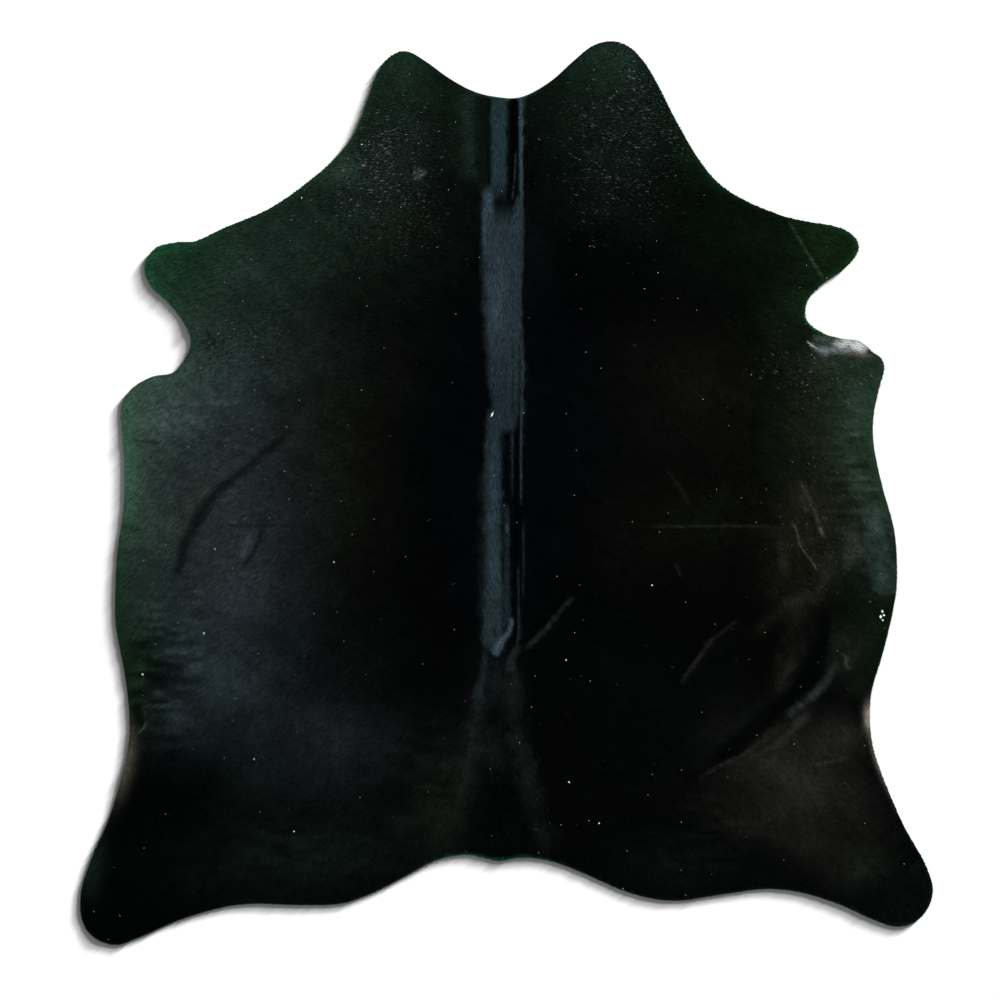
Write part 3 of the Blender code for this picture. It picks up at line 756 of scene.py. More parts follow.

# %% Narrow streaks, most of them painted sheen, painted highlights and painted shade along the backbone, the creases and the folds, with their widths at the start and the end of the route
Streak = namedtuple("Streak", "name route widths edge fade tone strength")
STREAKS = (
    # Along the backbone the pale strip with its sides and prongs is painted sheen of the sleek hair, the
    # threads, the hook and the glint are painted highlights on raised creases, and the gaps, grooves and
    # hollows are painted shade.
    Streak("nape, pale side", ((-0.096, 0.990), (-0.094, 0.859), (-0.082, 0.750)), (0.044, 0.022), 0.040,
           0.15, "#1d2a24", 0.85),
    Streak("nape, dark side", ((-0.059, 0.975), (-0.058, 0.859), (-0.056, 0.730)), (0.026, 0.022), 0.010,
           0.02, "#0a110d", 0.85),
    Streak("nape", ((-0.019, 1.040), (-0.019, 0.859), (-0.020, 0.700)), (0.038, 0.036), 0.010,
           0.22, "#233235", 1.0),
    Streak("nape, gap", ((0.017, 0.975), (0.017, 0.835), (0.017, 0.700)), (0.016, 0.013), 0.005,
           0.01, "#010202", 1.0),
    Streak("nape, thread", ((0.035, 0.975), (0.035, 0.835), (0.037, 0.696)), (0.011, 0.006), 0.005,
           0.01, "#2f3f43", 1.0),
    Streak("nape, short thread", ((0.023, 0.835), (0.019, 0.767), (0.014, 0.708)), (0.004, 0.003), 0.003,
           0.15, "#243236", 0.9),
    Streak("back, soft side", ((-0.053, 0.690), (-0.052, 0.470), (-0.046, 0.360), (-0.040, 0.275),
                               (-0.036, 0.225)), (0.010, 0.010), 0.018, 0.06, "#20292e", 0.9),
    Streak("back, left prong", ((-0.042, 0.755), (-0.045, 0.701), (-0.036, 0.570)), (0.018, 0.038),
           0.014, 0.18, "#36454b", 1.0),
    Streak("back, right prong", ((0.031, 0.730), (0.029, 0.690), (0.020, 0.616)), (0.012, 0.036),
           0.008, 0.16, "#262f33", 1.0),
    Streak("back", ((-0.005, 0.712), (-0.005, 0.543), (-0.006, 0.470), (-0.001, 0.360), (0.003, 0.275),
                    (0.004, 0.225)), (0.093, 0.080), 0.008, 0.14, "#252e33", 1.0),
    Streak("back, end", ((0.000, 0.345), (0.001, 0.260), (-0.004, 0.200), (-0.008, 0.140)),
           (0.082, 0.054), 0.016, 0.15, "#20292e", 1.0),
    Streak("back, pale", ((-0.028, 0.660), (-0.024, 0.530), (-0.020, 0.330)),
           (0.036, 0.034), 0.036, 0.40, "#34424a", 0.9),
    Streak("back, groove", ((0.000, 0.330), (-0.002, 0.240), (-0.003, 0.150)), (0.004, 0.006), 0.005,
           0.20, "#10171a", 0.8),
    Streak("back, right groove", ((0.016, 0.400), (0.016, 0.299), (0.016, 0.150)), (0.003, 0.007), 0.005,
           0.15, "#10171a", 0.85),
    Streak("back, rim groove", ((0.031, 0.420), (0.031, 0.299), (0.030, 0.170)), (0.002, 0.006), 0.005,
           0.15, "#0e1416", 0.9),
    Streak("loin, soft side", ((-0.054, 0.080), (-0.060, -0.066), (-0.060, -0.260), (-0.056, -0.370)),
           (0.010, 0.012), 0.030, 0.10, "#11171a", 0.9),
    Streak("loin", ((-0.028, 0.215), (-0.032, 0.105), (-0.034, -0.066), (-0.033, -0.260),
                    (-0.032, -0.390)), (0.034, 0.046), 0.018, 0.05, "#232d32", 1.0),
    Streak("loin, pale", ((-0.031, 0.150), (-0.031, -0.066), (-0.031, -0.280)), (0.014, 0.018), 0.022,
           0.20, "#2e3940", 0.8),
    Streak("loin, thin line", ((0.014, 0.160), (0.014, 0.080), (0.013, -0.020)), (0.006, 0.003), 0.005,
           0.20, "#1a2326", 0.9),
    Streak("loin, dim side", ((0.000, -0.010), (0.001, -0.130), (0.001, -0.260), (0.000, -0.350)),
           (0.010, 0.020), 0.008, 0.12, "#182025", 0.85),
    Streak("loin, spot", ((-0.006, 0.136), (-0.006, 0.114), (-0.006, 0.090)), (0.020, 0.012), 0.008,
           0.20, "#06090a", 0.9),
    Streak("loin, glint", ((0.001, -0.076), (0.002, -0.084), (0.002, -0.094)), (0.006, 0.006), 0.006,
           0.20, "#2c383d", 0.9),
    Streak("loin, gap", ((0.021, 0.160), (0.022, -0.066), (0.023, -0.260), (0.020, -0.340)),
           (0.007, 0.008), 0.006, 0.06, "#010202", 1.0),
    Streak("loin, thread", ((0.037, 0.250), (0.035, 0.105), (0.035, -0.036)), (0.007, 0.004), 0.005,
           0.08, "#232e33", 1.0),
    Streak("loin, low thread", ((0.040, -0.054), (0.041, -0.151), (0.040, -0.260)), (0.005, 0.004), 0.005,
           0.15, "#181c1e", 0.9),
    Streak("loin, last thread", ((0.029, -0.170), (0.029, -0.273), (0.027, -0.358), (0.004, -0.397)),
           (0.003, 0.005), 0.005, 0.10, "#1b2022", 0.9),
    Streak("hook", ((0.014, -0.300), (0.008, -0.330), (-0.012, -0.362), (-0.032, -0.394)),
           (0.004, 0.020), 0.010, 0.08, "#3a474f", 1.0),
    Streak("hook, hollow", ((-0.030, -0.326), (-0.028, -0.350)), (0.010, 0.008), 0.008,
           0.15, "#0a0e10", 0.8),
    # The slanting ridge is a painted highlight, the croup lines are painted sheen of the hair that lies
    # lengthwise there, and the croup's hollow is painted shade.
    Streak("slanting ridge", ((0.034, -0.388), (0.094, -0.333), (0.135, -0.280), (0.176, -0.244)),
           (0.007, 0.004), 0.010, 0.25, "#252829", 1.0),
    Streak("croup, left line", ((-0.053, -0.380), (-0.058, -0.440), (-0.074, -0.510)), (0.008, 0.024),
           0.018, 0.12, "#1b2324", 0.85),
    Streak("croup, left", ((-0.068, -0.470), (-0.080, -0.560), (-0.094, -0.640), (-0.112, -0.710)),
           (0.020, 0.034), 0.050, 0.20, "#191f1d", 0.95),
    Streak("croup, left low", ((-0.092, -0.640), (-0.118, -0.740), (-0.146, -0.830), (-0.170, -0.900)),
           (0.020, 0.070), 0.060, 0.25, "#121813", 0.85),
    Streak("croup, right root", ((0.031, -0.362), (0.022, -0.386), (0.010, -0.405), (0.010, -0.440)),
           (0.006, 0.024), 0.012, 0.15, "#1a1e1e", 0.9),
    Streak("croup, right", ((0.012, -0.400), (0.017, -0.480), (0.024, -0.560), (0.035, -0.630),
                            (0.064, -0.760)), (0.028, 0.034), 0.044, 0.24, "#1d1e1c", 0.95),
    Streak("croup, right low", ((0.034, -0.620), (0.056, -0.720), (0.078, -0.800), (0.110, -0.890)),
           (0.020, 0.050), 0.060, 0.20, "#121510", 0.85),
    Streak("croup, hollow", ((-0.034, -0.510), (-0.034, -0.540), (-0.033, -0.575)), (0.024, 0.024),
           0.020, 0.30, "#020304", 0.9),
    # On the right flank the level, drop, chain, link, bead, slant, arc and stub lines are painted highlights
    # on the ridges of creases, and the dark crease at the side is painted shade.
    Streak("right flank, level", ((0.310, -0.082), (0.447, -0.081), (0.568, -0.080), (0.662, -0.080)),
           (0.002, 0.006), 0.006, 0.20, "#1f211a", 0.75),
    Streak("right flank, drop", ((0.690, -0.068), (0.704, -0.090), (0.714, -0.127), (0.743, -0.168),
                                 (0.758, -0.192)), (0.005, 0.003), 0.004, 0.10, "#34362e", 0.9),
    Streak("right flank, chain", ((0.710, 0.040), (0.743, -0.029), (0.763, -0.090), (0.780, -0.115)),
           (0.004, 0.010), 0.008, 0.15, "#2e3028", 0.85),
    Streak("right flank, link", ((0.714, 0.000), (0.724, -0.030), (0.731, -0.050)), (0.006, 0.006),
           0.006, 0.25, "#2b2d25", 0.8),
    Streak("right flank, bead", ((0.762, -0.082), (0.764, -0.090), (0.766, -0.100)), (0.008, 0.006),
           0.008, 0.20, "#454d47", 0.9),
    Streak("right flank, blob", ((0.662, -0.100), (0.673, -0.163), (0.678, -0.210)), (0.012, 0.014),
           0.024, 0.30, "#22221b", 0.8),
    Streak("right flank, pink", ((0.778, -0.120), (0.782, -0.175), (0.768, -0.225), (0.735, -0.252),
                                 (0.695, -0.265), (0.653, -0.282)), (0.010, 0.010), 0.040, 0.20,
           "#2a2723", 0.85),
    Streak("right flank, green side", ((0.799, -0.066), (0.807, -0.127), (0.812, -0.260)),
           (0.012, 0.014), 0.012, 0.20, "#0b1108", 0.85),
    Streak("right flank, sweep", ((0.690, -0.265), (0.661, -0.285), (0.629, -0.321), (0.593, -0.358)),
           (0.016, 0.010), 0.040, 0.30, "#181611", 0.65),
    Streak("right belly, grey", ((0.800, -0.080), (0.836, -0.110), (0.862, -0.150)), (0.014, 0.030), 0.040,
           0.20, "#2c2c27", 0.7),
    Streak("right flank, slant", ((0.417, -0.472), (0.447, -0.426), (0.471, -0.394), (0.500, -0.358),
                                  (0.539, -0.326), (0.573, -0.302)), (0.008, 0.005), 0.007, 0.20,
           "#211f1e", 0.9),
    Streak("right flank, arc", ((0.381, 0.066), (0.417, 0.019), (0.451, -0.046)), (0.008, 0.008),
           0.012, 0.25, "#1a1510", 0.7),
    Streak("right flank, stub", ((0.405, -0.165), (0.416, -0.185), (0.425, -0.212)), (0.006, 0.005),
           0.006, 0.25, "#191712", 0.8),
    Streak("right side, dark crease", ((0.787, 0.024), (0.850, 0.027), (0.905, 0.029)), (0.003, 0.007),
           0.005, 0.20, "#0c150a", 0.85),
    Streak("right belly, teal", ((0.890, -0.005), (0.904, -0.130), (0.924, -0.270)), (0.030, 0.050),
           0.080, 0.20, "#32403a", 1.0),
    Streak("right belly, under teal", ((0.832, -0.178), (0.872, -0.236), (0.904, -0.262),
                                       (0.957, -0.268)), (0.030, 0.030), 0.010, 0.06, "#080f08", 0.95),
    Streak("hip, brown arc", ((0.734, -0.224), (0.708, -0.285), (0.702, -0.333), (0.690, -0.394),
                              (0.670, -0.455), (0.625, -0.504)), (0.036, 0.034), 0.050, 0.25,
           "#1a1713", 0.9),
    # Over the thigh fold the crest, its end and the long line are painted highlights, and the dark above the
    # fold, the fold's shade, its fine line and the groin wrinkle are painted shade.
    Streak("thigh fold, above", ((0.635, -0.470), (0.580, -0.550), (0.510, -0.620), (0.440, -0.680)),
           (0.040, 0.050), 0.060, 0.20, "#050606", 1.0),
    Streak("thigh fold, shade", ((0.768, -0.250), (0.768, -0.358), (0.743, -0.419), (0.702, -0.479),
                                 (0.653, -0.523), (0.593, -0.580), (0.490, -0.680)), (0.024, 0.046),
           0.020, 0.12, "#000101", 1.0),
    Streak("thigh fold, crest", ((0.808, -0.400), (0.782, -0.443), (0.763, -0.470), (0.734, -0.496),
                                 (0.702, -0.523), (0.670, -0.552)), (0.019, 0.007), 0.022, 0.15,
           "#292d2d", 0.95),
    Streak("thigh fold, long line", ((0.680, -0.543), (0.641, -0.577), (0.580, -0.630), (0.507, -0.669),
                                     (0.442, -0.715)), (0.007, 0.007), 0.009, 0.30, "#1d1d18", 0.85),
    Streak("thigh fold, line", ((0.709, -0.543), (0.685, -0.562), (0.653, -0.591), (0.617, -0.621),
                                (0.544, -0.662)), (0.009, 0.006), 0.006, 0.20, "#060605", 0.95),
    Streak("thigh fold, underside", ((0.744, -0.523), (0.714, -0.557), (0.661, -0.606),
                                     (0.580, -0.655)), (0.020, 0.010), 0.020, 0.20, "#24211e", 0.8),
    Streak("groin wrinkle", ((0.744, -0.557), (0.787, -0.533), (0.836, -0.538)), (0.007, 0.005), 0.006,
           0.25, "#080807", 0.85),
    Streak("thigh fold, end", ((0.809, -0.389), (0.826, -0.399), (0.826, -0.416), (0.838, -0.431)),
           (0.006, 0.004), 0.009, 0.20, "#333735", 0.85),
    Streak("thigh, faint line", ((0.715, -0.668), (0.780, -0.655), (0.840, -0.640)), (0.003, 0.004),
           0.005, 0.25, "#2b2a20", 0.8),
    Streak("left neck, pale spot", ((-0.228, 0.780), (-0.214, 0.776), (-0.198, 0.768)),
           (0.028, 0.024), 0.014, 0.25, "#3e4b4a", 0.95),
    # A painted highlight along the crease of the right foreleg.
    Streak("right foreleg line", ((0.683, 0.666), (0.726, 0.594), (0.773, 0.516)), (0.004, 0.006),
           0.005, 0.10, "#2a3828", 0.85),
    # At the right armpit the white and grey streaks are a painted highlight on the edge of the skin.
    Streak("right armpit, pale", ((0.739, 0.377), (0.775, 0.372), (0.824, 0.365)), (0.018, 0.014), 0.016,
           0.15, "#3d443e", 0.9),
    Streak("right armpit, highlight's edge", ((0.744, 0.356), (0.775, 0.347), (0.824, 0.349), (0.858, 0.352)),
           (0.008, 0.024), 0.020, 0.12, "#686c6e", 0.95),
    Streak("right armpit, painted highlight", ((0.786, 0.360), (0.822, 0.364), (0.856, 0.360), (0.884, 0.346)),
           (0.004, 0.034), 0.026, 0.25, "#d0cccb", 1.0),
    Streak("right armpit, sharp side", ((0.730, 0.369), (0.740, 0.361), (0.756, 0.350)), (0.004, 0.004),
           0.004, 0.10, "#a9abab", 1.0),
    Streak("right armpit, brown line", ((0.826, 0.336), (0.862, 0.339), (0.893, 0.332)), (0.008, 0.006),
           0.008, 0.15, "#54463f", 0.9),
    # On the left flank the dark arcs and grooves, and the dark along the side's nick, are painted shade in
    # the creases, and the light arc and the short ridge are painted highlights beside them.
    Streak("left arc, upper", ((-0.536, 0.150), (-0.560, 0.120), (-0.595, 0.094), (-0.639, 0.054)),
           (0.018, 0.022), 0.018, 0.15, "#0a0e0c", 0.95),
    Streak("left arc, middle", ((-0.620, 0.068), (-0.673, 0.032), (-0.716, -0.005), (-0.745, -0.050)),
           (0.016, 0.032), 0.018, 0.15, "#0b100d", 0.95),
    Streak("left arc, lower", ((-0.732, -0.030), (-0.762, -0.085), (-0.787, -0.140), (-0.804, -0.212)),
           (0.034, 0.018), 0.016, 0.12, "#080c0a", 0.95),
    Streak("left arc, light", ((-0.690, 0.050), (-0.742, 0.010), (-0.790, -0.054), (-0.822, -0.150)),
           (0.022, 0.026), 0.036, 0.30, "#333d36", 0.65),
    Streak("left short ridge", ((-0.622, -0.085), (-0.632, -0.130), (-0.645, -0.168)), (0.010, 0.018),
           0.018, 0.30, "#303b40", 0.65),
    Streak("left short groove", ((-0.590, -0.078), (-0.600, -0.115), (-0.625, -0.158), (-0.650, -0.190)),
           (0.014, 0.008), 0.010, 0.20, "#0b1010", 0.85),
    Streak("left level groove", ((-0.710, -0.074), (-0.640, -0.080), (-0.570, -0.078), (-0.495, -0.082)),
           (0.005, 0.008), 0.008, 0.25, "#0f1415", 0.75),
    Streak("left shoulder groove", ((-0.800, 0.213), (-0.720, 0.208), (-0.640, 0.212)), (0.004, 0.004),
           0.008, 0.30, "#1d2526", 0.6),
    Streak("left side groove", ((-0.915, 0.129), (-0.863, 0.124), (-0.830, 0.119)), (0.005, 0.003),
           0.005, 0.25, "#14201a", 0.8),
    Streak("left side, nick shade", ((-0.945, -0.075), (-0.915, -0.085), (-0.880, -0.086)), (0.016, 0.010),
           0.014, 0.25, "#15261b", 0.7),
    Streak("left belly groove", ((-0.845, -0.320), (-0.815, -0.345), (-0.795, -0.358)), (0.010, 0.008),
           0.010, 0.25, "#0c1214", 0.8),
    Streak("left loin groove", ((-0.551, -0.511), (-0.507, -0.533)), (0.010, 0.008), 0.006,
           0.20, "#0c1011", 0.8),
    Streak("left groin", ((-0.900, -0.585), (-0.884, -0.574), (-0.872, -0.550)), (0.004, 0.005),
           0.004, 0.20, "#39443c", 0.8),
    Streak("left groin, dark", ((-0.900, -0.500), (-0.897, -0.535), (-0.894, -0.570)), (0.020, 0.026),
           0.014, 0.25, "#030503", 0.9),
)

# %% Casts that follow the trimmed edge inwards for a given depth
Cast = namedtuple("Cast", "name place reach depth tone strength")
CASTS = (
    Cast("all round", (0.00, 0.00), (4.00, 4.00), 0.0025, "#081b0d", 0.7),
    Cast("neck notch", (-0.01, 0.965), (0.07, 0.03), 0.003, "#2c6b45", 0.8),
    Cast("tail edge", (-0.05, -0.885), (0.14, 0.05), 0.003, "#1f5a38", 0.5),
    # The pale green grey along the left side is painted sheen of the hair as well as the green cast.
    Cast("left side", (-0.93, 0.10), (0.14, 0.26), 0.045, "#3a5746", 0.9),
    Cast("left side, low", (-0.93, -0.28), (0.12, 0.15), 0.030, "#182c19", 0.8),
    Cast("left foreleg", (-0.88, 0.56), (0.14, 0.16), 0.020, "#1d4a30", 0.9),
    Cast("right foreleg", (0.86, 0.60), (0.14, 0.12), 0.012, "#16321a", 0.7),
    Cast("right armpit", (0.745, 0.410), (0.06, 0.05), 0.0035, "#1c6128", 0.9),
    Cast("neck, right edge", (0.48, 0.80), (0.22, 0.16), 0.008, "#123018", 0.5),
    Cast("neck, left edge", (-0.42, 0.80), (0.18, 0.26), 0.012, "#1d3a26", 0.7),
    Cast("right side", (0.90, 0.13), (0.10, 0.24), 0.018, "#273a2a", 0.7),
    Cast("right groin", (0.872, -0.545), (0.03, 0.030), 0.011, "#9a8c86", 0.9),
    Cast("right groin, below", (0.890, -0.65), (0.05, 0.08), 0.006, "#5c534c", 0.75),
    Cast("left groin", (-0.915, -0.66), (0.06, 0.08), 0.020, "#4a443d", 1.0),
)
PAINTED_GLINTS = (  # places where a share of the locks, the last number, gets a pale tip as a painted glint of the hair
    Patch("left neck", (-0.305, 0.79), (0.085, 0.125), -35, "#92a3a6", 1.1),
    Patch("left neck, brightest", (-0.33, 0.83), (0.06, 0.07), 0, "#e4e8e7", 0.03),
    Patch("left withers", (-0.24, 0.67), (0.08, 0.08), 0, "#7d756b", 0.55),
    Patch("right neck", (0.29, 0.89), (0.115, 0.16), -15, "#86918c", 0.80),
    Patch("right neck, top", (0.32, 1.02), (0.05, 0.08), 0, "#c3cbc8", 0.25),
    Patch("right withers", (0.27, 0.73), (0.06, 0.06), 0, "#857a70", 0.22),
    Patch("left armpit", (-0.70, 0.37), (0.12, 0.05), 0, "#a2aba8", 0.35),
    Patch("right armpit", (0.73, 0.29), (0.10, 0.05), 0, "#a09d92", 0.28),
    Patch("right flank", (0.76, -0.06), (0.07, 0.14), 0, "#8a8472", 0.20),
    Patch("croup", (0.02, -0.72), (0.18, 0.16), 0, "#59605e", 0.03),
    Patch("everywhere", (0.00, 0.00), (4.00, 4.00), 0, "#59605e", 0.003),
)
GLINT_CLUMP, CLUMPED = 0.035, 0.8  # how broad its clumps are, and how strong
GLINT_BODY, GLINT_RARITY = 0.16, 9  # least brightness of a pale tip, and how few come near to full
PATCHY, MOST_PATCHY = 18.0, 0.8  # share of a streak's tone lost where it is faintest, by its soft edge
CLOUDS = ((0.060, 0.16), (0.024, 0.16), (0.009, 0.14))  # how broad an unevenness is, and how strong
Pucker = namedtuple("Pucker", "name place reach turn strength")
PUCKERS = (  # where fine puckers of the skin, from side to side, are painted as light and shade, and how strongly
    Pucker("left flank", (-0.75, -0.05), (0.22, 0.60), 0, 0.12),
    Pucker("left belly", (-0.84, -0.44), (0.08, 0.15), 0, 1.60),
    Pucker("left shoulder", (-0.82, 0.25), (0.16, 0.08), 0, 0.16),
    Pucker("left croup", (-0.18, -0.72), (0.14, 0.16), 0, 0.60),
    Pucker("right flank", (0.75, -0.05), (0.20, 0.60), 0, 0.14),
    Pucker("right side", (0.87, 0.02), (0.07, 0.16), 0, 0.80),
    Pucker("right thigh", (0.45, -0.82), (0.20, 0.10), -20, 0.80),
    Pucker("left buttock", (-0.55, -0.86), (0.22, 0.08), 0, 0.50),
)
PUCKER_SIZE = np.array((0.050, 0.011))
WANDER_SIZE, WANDER = 0.08, 0.018  # the patches' outlines wander this broadly and this far
RAGGED = ((0.022, 0.20), (0.008, 0.15))  # how broad a streak's raggedness is, and how strong
MOTTLED = ((0.030, 0.3), (0.009, 0.2))  # and the same of its patches
STREAK_SHADE, STREAK_SIZE = 0.22, np.array((0.005, 0.060))  # streaks along the lines of hair
print("patches:", len(PATCHES), "streaks:", len(STREAKS), "casts:", len(CASTS))


# %% The colour at any place
def patch_weight(points, patch):
    turn = math.radians(patch.turn)
    offset = points - patch.place
    along = offset[:, 0] * math.cos(turn) + offset[:, 1] * math.sin(turn)
    across = offset[:, 1] * math.cos(turn) - offset[:, 0] * math.sin(turn)
    return patch.strength * np.exp(-((along / patch.reach[0]) ** 2 + (across / patch.reach[1]) ** 2))


def mixed_noise(points, layers, seeds):
    """Layers of soft noise in one, each with a size, a strength and a seed."""
    return sum(strength * soft_noise(points, size, seed)
               for (size, strength), seed in zip(layers, seeds))


def streak_weight(points, streak, number):
    """Which points a streak touches, and how strongly. A soft streak is ragged and patchy too."""
    reach = max(streak.widths) / 2 + streak.edge
    chosen, gaps, shares = near_route(points, streak.route, reach)
    near = points[chosen]
    ragged = mixed_noise(near, RAGGED, (300 + number, 400 + number))
    half = np.interp(shares, (0, 1), streak.widths) / 2 + streak.edge * ragged
    inside = 1 - ramp(gaps - half, -streak.edge / 2, streak.edge / 2)
    ends = ramp(shares, 0, streak.fade) * ramp(1 - shares, 0, streak.fade)
    patchy = 0.5 + mixed_noise(near, MOTTLED, (500 + number, 600 + number))
    lost = min(PATCHY * streak.edge, MOST_PATCHY)
    return chosen, streak.strength * inside * ends * (1 - lost * patchy)


def dye_and_painted_light_at(points, flow):
    """The colour at each point of the floor plan, the dye with its painted sheen, highlights and shade,
    linear red, green and blue.
    """
    wander = np.stack([soft_noise(points, WANDER_SIZE, seed) for seed in (11, 12)], axis=1)
    warped = points + WANDER * wander
    tones = np.tile(linear(BASE_TONE), (len(points), 1))
    for patch in PATCHES:
        tones += (linear(patch.tone) - tones) * patch_weight(warped, patch)[:, None]
    cloud = mixed_noise(points, CLOUDS, (20, 21, 22))
    # Fine puckers of the skin are painted into the colour as stripes of light and shade.
    painted_pucker_shade = sum(patch_weight(points, pucker) for pucker in PUCKERS)
    cloud += painted_pucker_shade * soft_noise(points, PUCKER_SIZE, 30)
    cloud += STREAK_SHADE * soft_noise(flow, STREAK_SIZE, 31)
    tones *= np.exp(cloud)[:, None]
    rim_gaps = np.array([rim_tree.find((*spot, 0.0))[2] for spot in points])
    for cast in CASTS:
        offset = (points - cast.place) / cast.reach
        weight = cast.strength * np.exp(-(offset**2).sum(axis=1) - (rim_gaps / cast.depth) ** 2)
        tones += (linear(cast.tone) - tones) * weight[:, None]
    for number, streak in enumerate(STREAKS):
        chosen, weight = streak_weight(points, streak, number)
        tones[chosen] += (linear(streak.tone) - tones[chosen]) * weight[:, None]
    return tones


def with_painted_glints(tones, points, seed):
    """The tones with a seeded share of the locks pale at the tip as painted glints, and 0 for each of those,
    else 1.
    """
    plain = np.ones(len(points))
    draws = np.random.default_rng(seed).random((len(PAINTED_GLINTS), 2, len(points)))
    clump = (1 + CLUMPED * soft_noise(points, GLINT_CLUMP, 15)) * (1 - strip_share(points))
    for glint_patch, (draw, depth) in zip(PAINTED_GLINTS, draws):
        pale = draw < patch_weight(points, glint_patch) * clump
        tones[pale] = np.maximum(tones[pale], linear(glint_patch.tone)
                                 * (GLINT_BODY + depth[pale, None] ** GLINT_RARITY))
        plain[pale] = 0.0
    return tones, plain


# %% [markdown]
# ## Materials
#
# The coat is dyed hair, with its sheen painted into its colour: each lock has a faint gloss, which
# grows where the coat is seen from low down. Under it the grain of the skin took the same dye but
# is matt, and is painted darker as the shade under the locks. The cut edge shows raw dyed leather,
# and the flesh side is suede.

# %% Dyed hair
# Each lock stands for a bundle of hairs about 0.3 mm apart, so fine lines run down it. They are
# too fine for the picture from above, and show as a soft shimmer. The root is shaded, the tip isn't.
# A lock with a painted glint, whose colour is stored with alpha 0, is black but for its pale tip.
STRANDS_PER_LOCK = 11.0

hair, tree, shader = new_material("dyed cow hair with painted sheen", Roughness=0.42, Specular_IOR_Level=0.010)
strand = add_node(tree, "ShaderNodeUVMap", uv_map="strand")
split = add_node(tree, "ShaderNodeSeparateXYZ", {"Vector": strand.outputs["UV"]})
dye_and_painted_light = add_node(tree, "ShaderNodeAttribute", attribute_name="dye_and_painted_light")
tone = add_node(tree, "ShaderNodeAttribute", attribute_name="tone")
shift = add_node(tree, "ShaderNodeMath", {0: tone.outputs["Fac"], 1: 50.0}, operation="MULTIPLY")
spread = add_node(tree, "ShaderNodeMapping", {"Vector": strand.outputs["UV"],
                                              "Scale": (STRANDS_PER_LOCK, 1.4, 1.0)})
lines = add_node(tree, "ShaderNodeTexNoise", {"Vector": spread.outputs[0], "W": shift.outputs[0],
                                              "Scale": 1.0, "Detail": 1.0}, noise_dimensions="4D")
line_shade = add_node(tree, "ShaderNodeMapRange", {"Value": lines.outputs[0], "From Min": 0.3,
                                                   "From Max": 0.7, "To Min": 0.7, "To Max": 1.3})
root_shade = add_node(tree, "ShaderNodeMapRange", {"Value": split.outputs["Y"], "To Min": 0.55,
                                                   "To Max": 1.15})
tip_shade = add_node(tree, "ShaderNodeMath", {0: split.outputs["Y"], 1: 3.0}, operation="POWER")
length_shade = add_node(tree, "ShaderNodeMix", {0: dye_and_painted_light.outputs["Alpha"], 2: tip_shade.outputs[0],
                                                3: root_shade.outputs[0]})
lock_shade = add_node(tree, "ShaderNodeMapRange", {"Value": tone.outputs["Fac"], "To Min": 0.5,
                                                   "To Max": 1.5})
shade = add_node(tree, "ShaderNodeMath", {0: length_shade.outputs[0], 1: lock_shade.outputs[0]},
                 operation="MULTIPLY")
fine_shade = add_node(tree, "ShaderNodeMath", {0: shade.outputs[0], 1: line_shade.outputs[0]},
                      operation="MULTIPLY")
tinted = add_node(tree, "ShaderNodeVectorMath", {"Vector": dye_and_painted_light.outputs["Color"],
                                                 "Scale": fine_shade.outputs[0]}, operation="SCALE")
tree.links.new(tinted.outputs[0], shader.inputs["Base Color"])
relief(tree, shader, lines.outputs[0], 0.4, 0.0002)

# %% Dyed undercoat
# Between the locks lies the short soft undercoat on the grain. It took the same dye and is matt,
# and its fine strands run with the hair, along the map that follows each line from the spine. Its
# colour is painted darker than the dye, partly as strand tone and partly as the shade under the locks.
STRAND_WIDTH = 0.0008  # metres, coarser than the real 0.1 mm so that it shows up close
STRAND_LENGTH = 0.014

grain, tree, shader = new_material("dyed undercoat with painted shade", Roughness=0.8, Specular_IOR_Level=0.02)
dye_and_painted_light = add_node(tree, "ShaderNodeAttribute", attribute_name="dye_and_painted_light")
flow_map = add_node(tree, "ShaderNodeUVMap", uv_map="flow")
drawn_out = add_node(tree, "ShaderNodeMapping", {"Vector": flow_map.outputs["UV"],
                                                 "Scale": (1 / STRAND_WIDTH, 1 / STRAND_LENGTH, 1.0)})
fuzz = add_node(tree, "ShaderNodeTexNoise", {"Vector": drawn_out.outputs[0], "Scale": 1.0, "Detail": 3.0})
fuzz_shade = add_node(tree, "ShaderNodeMapRange", {"Value": fuzz.outputs[0], "From Min": 0.3,
                                                   "From Max": 0.7, "To Min": 0.35, "To Max": 0.95})
undercoat_with_painted_shade = add_node(tree, "ShaderNodeVectorMath", {"Vector": dye_and_painted_light.outputs["Color"],
                                                 "Scale": fuzz_shade.outputs[0]}, operation="SCALE")
tree.links.new(undercoat_with_painted_shade.outputs[0], shader.inputs["Base Color"])
relief(tree, shader, fuzz.outputs[0], 0.8, 0.0006)

# %% Raw cut edge
# A trimming knife leaves the section open: packed fibres in thin level layers, dyed through but
# paler than the coat.
LAYER_DEPTH = 0.0003
LAYER_LENGTH = 0.006

raw_edge, tree, shader = new_material("raw dyed edge", Roughness=0.9, Specular_IOR_Level=0.1)
place = add_node(tree, "ShaderNodeTexCoord")
layered = add_node(tree, "ShaderNodeMapping", {
    "Vector": place.outputs["Object"], "Scale": (1 / LAYER_LENGTH, 1 / LAYER_LENGTH, 1 / LAYER_DEPTH),
})
fibres = add_node(tree, "ShaderNodeTexNoise", {"Vector": layered.outputs[0], "Scale": 1.0, "Detail": 4.0})
two_tones(tree, shader, fibres.outputs[0], (0.35, "#07090a"), (0.70, "#191d20"))
relief(tree, shader, fibres.outputs[0], 0.8, 0.0004)

# %% Suede flesh side
# Splitting and buffing raise a short nap of loose fibres. The dye soaks in unevenly there: clouds
# as broad as a hand with a finer mottle in them, and a nap of about half a millimetre.
CLOUD = 0.12
NAP = 0.0006

